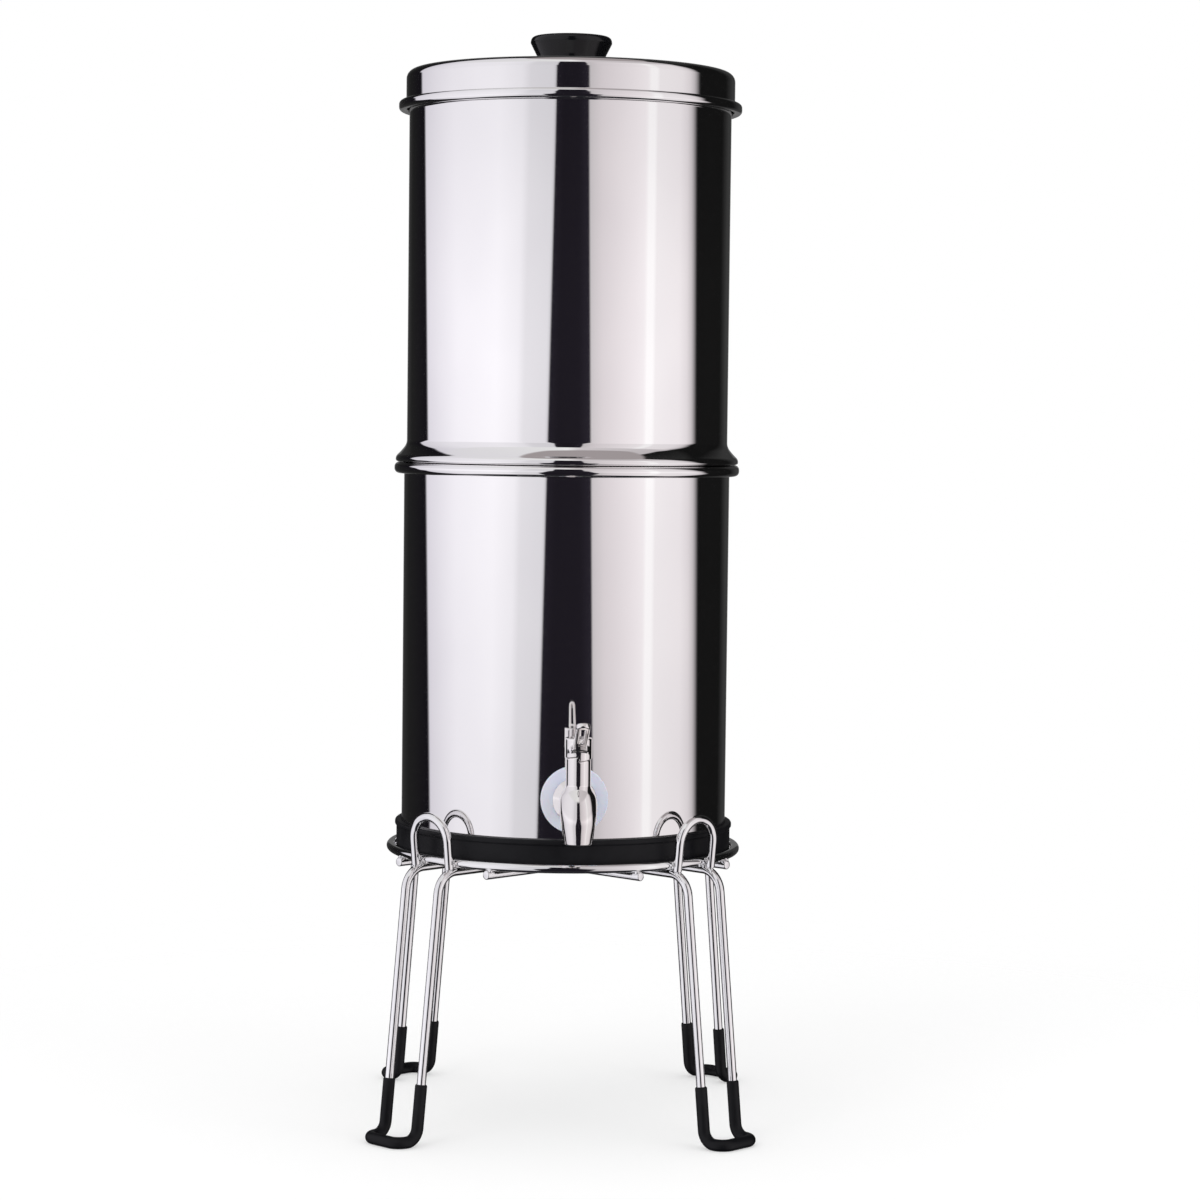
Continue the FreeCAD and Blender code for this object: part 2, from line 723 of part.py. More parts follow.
def nodes():
    """Every piece of the filter by its name."""
    pieces = {
        "lid_shell": lid_shell(), "lid_knob": lid_knob(),
        "knob_washer": knob_washer(), "knob_screw": knob_screw(),
        "upper_tank": upper_tank(),
        "lower_tank": lower_tank(), "base_boot": base_boot(),
        "tap_body": tap_body(), "tap_outer_washer": outer_washer(),
        "tap_inner_washer": inner_washer(), "tap_nut": tap_nut(),
        "tap_handle": tap_handle(), "tap_stem": spindle(),
        "tap_seal": tap_seal(), "tap_o_ring": o_ring(),
        "stand_ring": stand_ring(), "stand_grid": stand_grid(),
    }
    for number, place in enumerate(filter_places(), 1):
        pieces[f"filter_body_{number}"] = filter_body(*place)
        pieces[f"filter_cap_{number}"] = filter_cap(*place)
        pieces[f"filter_stem_{number}"] = filter_stem(*place)
        pieces[f"filter_seal_{number}"] = floor_seal(*place)
        pieces[f"filter_nut_{number}"] = wing_nut(*place, turn=90)
    for number, place in enumerate(plug_places(), 1):
        pieces[f"plug_{number}"] = blanking_plug(*place)
        pieces[f"plug_nut_{number}"] = wing_nut(*place, turn=0)
    for index in range(leg_count):
        pieces[f"stand_leg_{index + 1}"] = stand_leg(index)
        pieces[f"stand_hoop_{index + 1}"] = stand_hoop(index)
        pieces[f"foot_sleeve_{index + 1}"] = foot_sleeve(index)
    return pieces


os.makedirs("parts", exist_ok=True)
for name, shape in nodes().items():
    print(f"{name}: {len(shape.Solids)} solid, {shape.Volume / 1000:.2f} cm3, valid {shape.isValid()}")
    shape.exportStep(f"parts/{name}.step")
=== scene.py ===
"""The finished look of a gravity water filter: two polished steel tanks, a lid and a tap, on a wire stand."""

import logging
import math
from collections.abc import Callable, Sequence
from dataclasses import dataclass, field
from enum import Enum
from itertools import combinations, product

import bpy
import numpy as np
from mathutils import Euler, Matrix, Vector


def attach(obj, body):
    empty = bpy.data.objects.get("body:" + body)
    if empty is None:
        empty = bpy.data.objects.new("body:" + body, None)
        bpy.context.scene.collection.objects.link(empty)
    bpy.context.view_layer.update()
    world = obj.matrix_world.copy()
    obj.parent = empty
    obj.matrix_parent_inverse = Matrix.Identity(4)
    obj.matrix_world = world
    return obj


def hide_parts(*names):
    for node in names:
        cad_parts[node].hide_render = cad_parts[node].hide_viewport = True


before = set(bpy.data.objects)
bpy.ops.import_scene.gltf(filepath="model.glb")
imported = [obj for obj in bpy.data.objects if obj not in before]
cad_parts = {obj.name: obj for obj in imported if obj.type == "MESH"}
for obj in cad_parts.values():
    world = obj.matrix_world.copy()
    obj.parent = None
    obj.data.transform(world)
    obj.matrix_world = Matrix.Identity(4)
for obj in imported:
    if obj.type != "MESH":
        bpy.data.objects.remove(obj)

log = logging.getLogger("water_filter")

MM = 0.001
STEPS_ROUND = 288          # faces round a tank
ARC_STEP = 7.5             # degrees between the points of a bend
HOLD = 0.3                 # mm: a straight run keeps its own shading up to this near a bend
SHEET = 0.8                # mm: wall of the lid and both tanks
SOFT = 38.0                # degrees: an edge that turns more than this stays sharp
CUT_EDGE = 0.3             # how much of a wire's radius its cut ends are rounded by
THREAD = 0.62              # mm: how far a thread's crest stands out
FLOOR = -0.2               # mm: level of the studio's floor

Array = np.ndarray
Piece = bpy.types.Object
Socket = bpy.types.NodeSocket
Point = tuple[float, float, float]
Rule = Callable[[Array], Array]
Stops = tuple[tuple[float, ...], ...]


class Body(Enum):
    """The bodies that pieces ride on."""

    STAND = "stand"
    LOWER = "lower_vessel"
    UPPER = "upper_vessel"
    LID = "lid"
    STEM = "tap_stem"
    HANDLE = "tap_handle"


# Sections and meshes


def rounded(corners: Sequence[Point], closed: bool = True) -> Array:
    """Round the corners of an outline.

    Args:
        corners: Distance from the axis, height and bend radius of each corner, in mm.
        closed: Whether the last corner joins the first.

    Returns:
        The outline's points, with one more point near each end of a long straight run.
    """
    points = [np.array(c[:2], float) for c in corners]
    count = len(points)
    arcs: list[Array] = []
    for i, corner in enumerate(points):
        bend = corners[i][2]
        if bend <= 0 or (not closed and i in (0, count - 1)):
            arcs.append(corner[None, :])
            continue
        back = points[i - 1] - corner
        ahead = points[(i + 1) % count] - corner
        back /= np.linalg.norm(back)
        ahead /= np.linalg.norm(ahead)
        half = math.acos(float(np.clip(back @ ahead, -1, 1))) / 2
        bisector = (back + ahead) / np.linalg.norm(back + ahead)
        centre = corner + bisector * bend / math.sin(half)
        first = corner + back * bend / math.tan(half) - centre
        turn = math.pi - 2 * half
        if back[0] * ahead[1] - back[1] * ahead[0] > 0:
            turn = -turn
        steps = max(2, math.ceil(abs(math.degrees(turn)) / ARC_STEP))
        angles = np.linspace(0, turn, steps + 1)
        cos, sin = np.cos(angles), np.sin(angles)
        arcs.append(centre + np.stack([first[0] * cos - first[1] * sin,
                                       first[0] * sin + first[1] * cos], axis=1))
    made: list[Array] = []
    for i, arc in enumerate(arcs):
        made.extend(arc)
        if i == count - 1 and not closed:
            break
        start, end = arc[-1], arcs[(i + 1) % count][0]
        run = float(np.linalg.norm(end - start))
        if run > 4 * HOLD:
            along = (end - start) / run
            made += [start + along * HOLD, end - along * HOLD]
    return np.array(made)


def bent_sheet(corners: Sequence[Point], thickness: float = SHEET) -> Array:
    """Give the closed section of one sheet.

    Args:
        corners: The middle of the sheet, as for rounded.
        thickness: The sheet's thickness in mm.

    Returns:
        The section's outline points.
    """
    points = [np.array(c[:2], float) for c in corners]
    runs = [(b - a) / np.linalg.norm(b - a) for a, b in zip(points, points[1:])]
    normals = [np.array([-r[1], r[0]]) for r in runs]
    sides = []
    for shift in (thickness / 2, -thickness / 2):
        side: list[Point] = [(*(points[0] + normals[0] * shift), 0.0)]
        for i in range(1, len(points) - 1):
            first, second = normals[i - 1], normals[i]
            place = points[i] + (first + second) * shift / (1 + float(first @ second))
            left_turn = first[0] * second[1] - first[1] * second[0] > 0
            side.append((*place, corners[i][2] - shift if left_turn else corners[i][2] + shift))
        side.append((*(points[-1] + normals[-1] * shift), 0.0))
        sides.append(rounded(side, closed=False))
    return np.concatenate([sides[1], sides[0][::-1]])


def placed(name: str, data: bpy.types.ID) -> Piece:
    """Put an object with its data in the scene."""
    made = bpy.data.objects.new(name, data)
    bpy.context.scene.collection.objects.link(made)
    return made


def new_object(name: str, verts: Array, faces: Sequence[Sequence[int]], sharp: float = SOFT) -> Piece:
    """Make a smooth shaded object from points in mm, with its place in its mesh."""
    mesh = bpy.data.meshes.new(name)
    mesh.from_pydata((np.asarray(verts) * MM).tolist(), [], [list(map(int, f)) for f in faces])
    finish_mesh(mesh, sharp)
    return placed(name, mesh)


def finish_mesh(mesh: bpy.types.Mesh, sharp: float) -> None:
    """Shade a mesh smoothly, apart from edges sharper than an angle in degrees."""
    mesh.validate()
    mesh.shade_smooth()
    mesh.set_sharp_from_angle(angle=math.radians(sharp))
    mesh.update()


def turned(name: str, outline: Array, place: tuple[float, float] = (0.0, 0.0),
           steps: int = STEPS_ROUND, out_of_tank: float | None = None,
           sharp: float = SOFT, start: float = 0.0) -> Piece:
    """Turn a section round an axis.

    Args:
        name: The piece's name.
        outline: Distance from the axis and height of each point, in mm.
        place: Where the axis stands.
        steps: Faces round the axis.
        out_of_tank: Height of the tap's shank, where the axis points along it instead of up.
        sharp: The angle in degrees past which an edge stays sharp.
        start: The angle in degrees of the first face.

    Returns:
        The turned piece.
    """
    nexts = np.roll(outline, -1, axis=0)
    area = float(np.sum(outline[:, 0] * nexts[:, 1] - nexts[:, 0] * outline[:, 1]))
    if area < 0:
        outline = outline[::-1]
    verts: list[Point] = []
    rows: list[list[int]] = []
    angles = np.arange(steps) * 2 * math.pi / steps + math.radians(start)
    for radius, height in outline:
        if radius < 1e-6:
            rows.append([len(verts)] * steps)
            verts.append((0.0, 0.0, height))
            continue
        rows.append(list(range(len(verts), len(verts) + steps)))
        verts += [(radius * math.cos(a), radius * math.sin(a), height) for a in angles]
    faces = []
    for i, row in enumerate(rows):
        above = rows[(i + 1) % len(rows)]
        for j in range(steps):
            k = (j + 1) % steps
            face = list(dict.fromkeys([row[j], row[k], above[k], above[j]]))
            if len(face) > 2:
                faces.append(face)
    points = np.array(verts)
    if out_of_tank is not None:
        points = np.stack([points[:, 0], -points[:, 2], points[:, 1] + out_of_tank], axis=1)
    points[:, 0] += place[0]
    points[:, 1] += place[1]
    return new_object(name, points, faces, sharp)


def baked(obj: Piece, sharp: float = SOFT) -> Piece:
    """Turn what an object's modifiers make into its own plain mesh."""
    bpy.context.view_layer.update()
    depsgraph = bpy.context.evaluated_depsgraph_get()
    mesh = bpy.data.meshes.new_from_object(obj.evaluated_get(depsgraph))
    obj.modifiers.clear()
    obj.data = mesh
    finish_mesh(mesh, sharp)
    return obj


def drill(low: float, high: float, radius: float, steps: int, start: float,
          place: tuple[float, float] = (0.0, 0.0), out_of_tank: float | None = None) -> Piece:
    """Make a round cutter, turned so that its faces' edges miss those of the sheet."""
    outline = np.array([(0, low), (radius, low), (radius, high), (0, high)], float)
    return turned("drill", outline, place, steps, out_of_tank, start=start)


def cut(obj: Piece, cutters: Sequence[Piece]) -> Piece:
    """Cut holes in a piece and remove the cutters."""
    for cutter in cutters:
        modifier = obj.modifiers.new("hole", "BOOLEAN")
        modifier.operation, modifier.solver, modifier.object = "DIFFERENCE", "EXACT", cutter
    baked(obj)
    for cutter in cutters:
        bpy.data.objects.remove(cutter)
    return obj


def ring_outline(inner: float, outer: float, low: float, high: float, edge: float = 0.3) -> Array:
    """Give the section of a flat ring, or of a disc where inner is 0."""
    inner_edge = edge if inner > 0 else 0.0
    return rounded([(inner, low, inner_edge), (outer, low, edge), (outer, high, edge),
                    (inner, high, inner_edge)])


# Cast pieces, shaped by a rule of distance


def blended(first: Array, second: Array, reach: float) -> Array:
    """Join two shapes with a fillet of about the given reach."""
    share = np.clip(0.5 + 0.5 * (second - first) / reach, 0, 1)
    return second * (1 - share) + first * share - reach * share * (1 - share)


def met(first: Array, second: Array, edge: float) -> Array:
    """Keep what lies in both of two shapes, with a rounded edge where they meet."""
    return np.minimum(np.maximum(first, second), -edge) + np.hypot(np.maximum(first + edge, 0),
                                                                   np.maximum(second + edge, 0))


def far_from_polygon(u: Array, v: Array, corners: Sequence[tuple[float, float]]) -> Array:
    """Give the signed distance from a polygon, which is negative inside."""
    best = np.full(u.shape, np.inf)
    inside = np.zeros(u.shape, bool)
    count = len(corners)
    for i in range(count):
        (au, av), (bu, bv) = corners[i], corners[(i + 1) % count]
        eu, ev = bu - au, bv - av
        wu, wv = u - au, v - av
        share = np.clip((wu * eu + wv * ev) / (eu * eu + ev * ev), 0, 1)
        best = np.minimum(best, (wu - eu * share) ** 2 + (wv - ev * share) ** 2)
        crosses = (av > v) != (bv > v)
        if abs(ev) > 1e-9:
            inside ^= crosses & (u < eu * (v - av) / ev + au)
    return np.where(inside, -1, 1) * np.sqrt(best)


def slab(across: Array, along: Array, half: float, edge: float) -> Array:
    """Give a flat or upright shape of limited height a rounded edge."""
    a, b = across + edge, np.abs(along) - half + edge
    return np.minimum(np.maximum(a, b), 0) + np.hypot(np.maximum(a, 0), np.maximum(b, 0)) - edge


def post(p: Array, x: float, y: float, radius: float, low: float, high: float,
         edge: float = 0.0) -> Array:
    """Give the distance from an upright post with a rounded edge."""
    px, py, pz = p.T
    return slab(np.hypot(px - x, py - y) - radius, pz - (low + high) / 2,
                (high - low) / 2, edge)


def from_point(p: Array, out: Array | float, z: Array | float) -> Array:
    """Give the distance from a point in the tap's upright plane, or from one for each of p."""
    px, py, pz = p.T
    return np.sqrt(px ** 2 + (py + out) ** 2 + (pz - z) ** 2)


def cast(name: str, rule: Rule, low: Sequence[float], high: Sequence[float], step: float,
         sharp: float = 50.0) -> Piece:
    """Mesh the surface where a rule of distance is zero.

    Args:
        name: The piece's name.
        rule: The distance from the surface at given points, negative inside, in mm.
        low: Lowest corner of the room that the piece takes.
        high: Its highest corner.
        step: Size of a face in mm.
        sharp: The angle in degrees past which an edge stays sharp.

    Returns:
        The piece, with each point pulled on to the exact surface.
    """
    axes = [np.arange(a - 2 * step, b + 2.5 * step, step) for a, b in zip(low, high)]
    grid = np.stack(np.meshgrid(*axes, indexing="ij"), axis=-1)
    values = np.concatenate([rule(part.reshape(-1, 3)).reshape(part.shape[:3])
                             for part in np.array_split(grid, 8)])
    inside = values < 0
    cells = [count - 1 for count in values.shape]
    corners = list(product((0, 1), repeat=3))

    def at(array: Array, corner: Sequence[int]) -> Array:
        """Give what a grid holds at one corner of every cell."""
        return array[tuple(slice(c, c + count) for c, count in zip(corner, cells))]

    filled = sum(at(inside, corner).astype(np.int8) for corner in corners)
    mixed = (filled > 0) & (filled < 8)
    count = int(mixed.sum())
    number = np.full(cells, -1, np.int64)
    number[mixed] = np.arange(count)
    total, hits = np.zeros((count, 3)), np.zeros(count)
    for first, second in combinations(corners, 2):
        step_to = np.subtract(second, first)
        if np.abs(step_to).sum() != 1:
            continue
        va, vb = at(values, first)[mixed], at(values, second)[mixed]
        crossed = (va < 0) != (vb < 0)
        share = np.where(crossed, va / np.where(crossed, va - vb, 1.0), 0.0)
        total += (first + share[:, None] * step_to) * crossed[:, None]
        hits += crossed
    origin = np.stack(np.nonzero(mixed), axis=1) + total / hits[:, None]
    verts = np.array([a[0] for a in axes]) + origin * step
    faces = []
    for axis in range(3):
        one, two = (axis + 1) % 3, (axis + 2) % 3
        index = np.stack(np.nonzero(np.diff(inside, axis=axis)), axis=1)
        index = index[np.all([(index[:, i] > 0) & (index[:, i] < cells[i]) for i in (one, two)], axis=0)]
        quads = []
        for away_one, away_two in ((0, 0), (1, 0), (1, 1), (0, 1)):
            cell = index.copy()
            cell[:, one] -= away_one
            cell[:, two] -= away_two
            quads.append(number[tuple(cell.T)])
        quads = np.stack(quads, axis=1)
        inwards = ~inside[tuple(index.T)]
        quads[inwards] = quads[inwards][:, ::-1]
        faces.append(quads)
    reach = step * 0.2
    for _ in range(6):
        here = rule(verts)
        slope = np.stack([(rule(verts + shift) - here) / 1e-3 for shift in np.eye(3) * 1e-3], axis=1)
        steep = np.maximum(np.sum(slope ** 2, axis=1), 0.25)
        move = -slope * (here / steep)[:, None]
        size = np.maximum(np.linalg.norm(move, axis=1), 1e-12)
        verts = verts + move * np.minimum(1, reach / size)[:, None]
    return new_object(name, verts, np.concatenate(faces).tolist(), sharp)


# Node trees


class Graph:
    """A node tree, with short ways to add and link its nodes."""

    def __init__(self, tree: bpy.types.NodeTree) -> None:
        """Take the tree to work on."""
        self.tree = tree

    def feed(self, socket: Socket, value: object) -> None:
        """Link a socket to a socket, or set its value."""
        if isinstance(value, Socket):
            self.tree.links.new(value, socket)
        else:
            socket.default_value = value

    def node(self, kind: str, settings: dict[str, object] | None = None, *values: object,
             **inputs: object) -> bpy.types.Node:
        """Add a node.

        Args:
            kind: The node's type.
            settings: Its settings.
            values: What feeds its first inputs, in order.
            inputs: What feeds its other inputs, by their names with _ for a space.

        Returns:
            The node.
        """
        made = self.tree.nodes.new(kind)
        for key, value in (settings or {}).items():
            setattr(made, key, value)
        for socket, value in zip(made.inputs, values):
            self.feed(socket, value)
        for key, value in inputs.items():
            self.feed(made.inputs[key.replace("_", " ")], value)
        return made

    def maths(self, operation: str, *values: object) -> Socket:
        """Add one sum."""
        return self.node("ShaderNodeMath", {"operation": operation}, *values).outputs[0]

    def mix(self, share: object, first: object, second: object, blend: str = "MIX") -> Socket:
        """Add a mix of two colours."""
        made = self.node("ShaderNodeMix", {"data_type": "RGBA", "blend_type": blend}, share)
        self.feed(made.inputs[6], first)
        self.feed(made.inputs[7], second)
        return made.outputs[2]

    def ramp(self, source: Socket, stops: Sequence[tuple[float, Sequence[float]]]
             ) -> Socket:
        """Add a ramp of colours."""
        made = self.node("ShaderNodeValToRGB", None, source)
        elements = made.color_ramp.elements
        while len(elements) > 1:
            elements.remove(elements[0])
        elements[0].position, elements[0].color = stops[0]
        for position, colour in stops[1:]:
            elements.new(position).color = colour
        return made.outputs[0]


def emptied(owner: bpy.types.Material | bpy.types.World) -> Graph:
    """Give the node tree of a new material or world, with no nodes."""
    owner.use_nodes = True
    owner.node_tree.nodes.clear()
    return Graph(owner.node_tree)


class Tree(Graph):
    """A geometry node tree with named inputs."""

    def __init__(self, name: str) -> None:
        """Start a tree with geometry in and out."""
        super().__init__(bpy.data.node_groups.new(name, "GeometryNodeTree"))
        for way in ("INPUT", "OUTPUT"):
            self.tree.interface.new_socket("Geometry", in_out=way, socket_type="NodeSocketGeometry")
        self.keys: dict[str, str] = {}
        self.entry = self.node("NodeGroupInput")
        self.end = self.node("NodeGroupOutput")

    def size(self, name: str, kind: str = "Float") -> Socket:
        """Add a named input of a kind such as Float, Int, Vector or Material."""
        item = self.tree.interface.new_socket(name, in_out="INPUT", socket_type=f"NodeSocket{kind}")
        self.keys[name] = item.identifier
        return self.entry.outputs[name]

    def close(self, geometry: Socket) -> "Tree":
        """End the tree in smooth shading, real geometry and its material."""
        smooth = self.node("GeometryNodeSetShadeSmooth", Geometry=geometry)
        real = self.node("GeometryNodeRealizeInstances", Geometry=smooth.outputs[0])
        dressed = self.node("GeometryNodeSetMaterial", Geometry=real.outputs[0],
                            Material=self.size("Material", "Material"))
        self.feed(self.end.inputs[0], dressed.outputs[0])
        return self

    def run(self, obj: Piece, sharp: float = SOFT, **sizes: object) -> Piece:
        """Run the tree on an object with given sizes and keep the result as its mesh."""
        modifier = obj.modifiers.new(self.tree.name, "NODES")
        modifier.node_group = self.tree
        for name, value in sizes.items():
            modifier[self.keys[name.replace("_", " ")]] = value
        return baked(obj, sharp)


def wire_tree() -> Tree:
    """Bend a round wire along the corners of a path, each with its own bend and girth."""
    tree = Tree("bent_wire")
    bend, girth = (tree.node("GeometryNodeInputNamedAttribute", {"data_type": "FLOAT"}, name)
                   .outputs["Attribute"] for name in ("bend", "girth"))
    line = tree.node("GeometryNodeMeshToCurve", Mesh=tree.entry.outputs[0])
    loop = tree.node("GeometryNodeSetSplineCyclic", Geometry=line.outputs[0],
                     Cyclic=tree.size("Closed", "Bool"))
    soft = tree.node("GeometryNodeFilletCurve", {"mode": "POLY"}, Curve=loop.outputs[0],
                     Count=tree.size("Bend Points", "Int"), Radius=bend)
    ring = tree.node("GeometryNodeCurvePrimitiveCircle", Resolution=tree.size("Sides", "Int"),
                     Radius=tree.size("Radius"))
    tube = tree.node("GeometryNodeCurveToMesh", Curve=soft.outputs[0], Profile_Curve=ring.outputs[0],
                     Fill_Caps=tree.size("Capped", "Bool"), Scale=girth)
    return tree.close(tube.outputs[0])


def thread_tree() -> Tree:
    """Wind a thread round a core piece that the tree is given."""
    tree = Tree("screw_thread")
    core = tree.size("Core Radius")
    helix = tree.node("GeometryNodeCurveSpiral", Resolution=40, Rotations=tree.size("Turns"),
                      Start_Radius=core, End_Radius=core, Height=tree.size("Length"))
    crest = tree.node("GeometryNodeCurvePrimitiveCircle", Resolution=4, Radius=tree.size("Depth"))
    ridge = tree.node("GeometryNodeCurveToMesh", Curve=helix.outputs[0], Profile_Curve=crest.outputs[0],
                      Fill_Caps=True)
    put = tree.node("GeometryNodeTransform", Geometry=ridge.outputs[0],
                    Translation=tree.size("Place", "Vector"), Rotation=tree.size("Tilt", "Vector"))
    join = tree.node("GeometryNodeJoinGeometry", Geometry=tree.entry.outputs[0])
    tree.feed(join.inputs[0], put.outputs[0])
    return tree.close(join.outputs[0])


def weld_tree() -> Tree:
    """Set a small bead of weld at each point, each a little different."""
    tree = Tree("weld_beads")
    vector = {"data_type": "FLOAT_VECTOR"}
    dot = tree.node("GeometryNodeMeshIcoSphere", Radius=tree.size("Bead"), Subdivisions=3)
    points = tree.node("GeometryNodeMeshToPoints", Mesh=tree.entry.outputs[0])
    spin = tree.node("FunctionNodeRandomValue", vector, Seed=11, Max=(6.28, 6.28, 6.28))
    swell = tree.node("FunctionNodeRandomValue", vector, Seed=5, Min=(0.85, 0.85, 0.7),
                      Max=(1.15, 1.15, 0.95))
    beads = tree.node("GeometryNodeInstanceOnPoints", Points=points.outputs[0], Instance=dot.outputs[0],
                      Rotation=spin.outputs[0], Scale=swell.outputs[0])
    return tree.close(beads.outputs[0])


# Finishes


class Shade(Graph):
    """The node tree of one material, built round a single shader."""

    def __init__(self, name: str, **settings: object) -> None:
        """Start a material, with settings for the shader's own sockets."""
        self.material = bpy.data.materials.new(name)
        self.material.use_nodes = True
        super().__init__(self.material.node_tree)
        self.sockets = self.tree.nodes["Principled BSDF"].inputs
        for key, value in settings.items():
            self.sockets[key.replace("_", " ")].default_value = value
        self.place = self.node("ShaderNodeTexCoord").outputs["Object"]

    def noise(self, scale: float, stretch: Point = (1, 1, 1), detail: float = 3.0,
              roughness: float = 0.5) -> Socket:
        """Add a noise pattern of a scale per metre, stretched along the axes."""
        spread = self.node("ShaderNodeMapping", Scale=stretch, Vector=self.place)
        return self.node("ShaderNodeTexNoise", Scale=scale, Detail=detail, Roughness=roughness,
                         Vector=spread.outputs[0]).outputs["Fac"]

    def between(self, source: Socket, low: float, high: float,
                start: float = 0.35, end: float = 0.65) -> Socket:
        """Spread a pattern over a range of values."""
        return self.node("ShaderNodeMapRange", None, source, start, end, low, high).outputs["Result"]

    def tint(self, source: Socket, first: Sequence[float], second: Sequence[float],
             start: float = 0.35, end: float = 0.65) -> None:
        """Colour the shader between two colours by a pattern."""
        share = self.between(source, 0, 1, start, end)
        self.feed(self.sockets["Base Color"], self.mix(share, (*first, 1), (*second, 1)))

    def rough(self, source: Socket, low: float, high: float) -> None:
        """Vary the shader's roughness by a pattern."""
        self.feed(self.sockets["Roughness"], self.between(source, low, high))

    def bumps(self, *layers: tuple[Socket, float]) -> bpy.types.Material:
        """Raise the surface by patterns, each with its height in mm, and give the material."""
        target = {}
        for source, height in layers:
            if height:
                bump = self.node("ShaderNodeBump", Strength=1.0, Distance=height * MM, Height=source,
                                 **target)
                target = {"Normal": bump.outputs["Normal"]}
        self.feed(self.sockets["Normal"], target["Normal"])
        return self.material


@dataclass(frozen=True)
class Steel:
    """Stainless steel with a polish: its gloss is a range of roughness, and heights are in mm."""

    name: str
    tone: Point
    dull: Point
    gloss: tuple[float, float]
    wave: float = 0.0
    lines: float = 0.0
    grain: float = 0.0

    def material(self) -> bpy.types.Material:
        """Build the material, with slow waves, fine polishing lines and a cast skin's grain."""
        shade = Shade(self.name, Metallic=1.0)
        hair = shade.noise(60, (1, 1, 60), 2, 0.6)
        shade.tint(shade.noise(14, (1, 1, 0.6), 2), self.tone, self.dull)
        shade.rough(hair, *self.gloss)
        return shade.bumps((shade.noise(9, (1, 1, 0.45), 1), self.wave), (hair, self.lines),
                           (shade.noise(420, detail=2), self.grain))


@dataclass(frozen=True)
class Moulded:
    """Moulded rubber or plastic, with a grain whose height is in mm and whose scale is per metre."""

    name: str
    tone: Point
    worn: Point
    gloss: tuple[float, float]
    grain: float
    grain_scale: float = 2200.0
    specular: float = 0.5

    def material(self) -> bpy.types.Material:
        """Build the material, a little rubbed or dusty in places."""
        shade = Shade(self.name, Specular_IOR_Level=self.specular)
        cloud = shade.noise(35, detail=4)
        shade.tint(cloud, self.tone, self.worn, 0.45, 0.75)
        shade.rough(cloud, *self.gloss)
        return shade.bumps((shade.noise(self.grain_scale, detail=2), self.grain))


@dataclass(frozen=True)
class Silicone:
    """Milky silicone, which lets the share named clear of the light through."""

    name: str
    tone: Point
    haze: Point
    clear: float

    def material(self) -> bpy.types.Material:
        """Build the material."""
        shade = Shade(self.name, IOR=1.41, Transmission_Weight=self.clear, Subsurface_Weight=0.2,
                      Subsurface_Scale=0.003)
        cloud = shade.noise(40, detail=2)
        shade.tint(cloud, self.tone, self.haze)
        shade.rough(cloud, 0.34, 0.44)
        return shade.bumps((shade.noise(900, detail=1), 0.003))


@dataclass(frozen=True)
class Carbon:
    """Pressed carbon block: matt, with open pores."""

    name: str
    tone: Point
    pore: Point

    def material(self) -> bpy.types.Material:
        """Build the material."""
        shade = Shade(self.name, Specular_IOR_Level=0.25)
        pores = shade.noise(900, detail=5, roughness=0.7)
        shade.tint(pores, self.pore, self.tone, 0.4, 0.55)
        shade.rough(shade.noise(40), 0.8, 0.95)
        return shade.bumps((pores, 0.25))


class Finishes:
    """Every finish of the filter, made once and shared by the pieces of its slot."""

    def __init__(self) -> None:
        """Build the materials."""
        kinds = {
            "polished_steel": Steel("mirror_steel", (0.93, 0.92, 0.92), (0.89, 0.88, 0.885),
                                    (0.022, 0.05), wave=0.05, lines=0.0005),
            "tap_steel": Steel("cast_tap_steel", (0.90, 0.88, 0.87), (0.84, 0.81, 0.80), (0.045, 0.09),
                               grain=0.004),
            "bright_steel": Steel("bright_steel", (0.85, 0.85, 0.86), (0.74, 0.74, 0.75), (0.12, 0.22),
                                  grain=0.003),
            "chrome_wire": Steel("drawn_bright_wire", (0.93, 0.93, 0.93), (0.86, 0.86, 0.865),
                                 (0.03, 0.07), grain=0.001),
            "gloss_black": Moulded("gloss_black_knob", (0.003, 0.003, 0.004), (0.006, 0.006, 0.007),
                                   (0.09, 0.15), 0.003, 500, specular=0.3),
            "black_rubber": Moulded("black_rubber", (0.004, 0.004, 0.0055), (0.010, 0.010, 0.012),
                                    (0.42, 0.56), 0.012, 1500, specular=0.2),
            "clear_silicone": Silicone("milky_silicone", (0.79, 0.82, 0.98), (0.84, 0.86, 0.98), 0.10),
            "carbon_block": Carbon("pressed_carbon", (0.022, 0.022, 0.023), (0.006, 0.006, 0.006)),
            "black_plastic": Moulded("black_moulding", (0.012, 0.012, 0.013), (0.022, 0.022, 0.023),
                                     (0.30, 0.42), 0.006),
            "white_plastic": Moulded("white_moulding", (0.80, 0.80, 0.77), (0.74, 0.74, 0.70),
                                     (0.32, 0.45), 0.006),
        }
        self.kinds = {slot: kind.material() for slot, kind in kinds.items()}

    def __getitem__(self, slot: str) -> bpy.types.Material:
        """Give the material of a slot."""
        return self.kinds[slot]


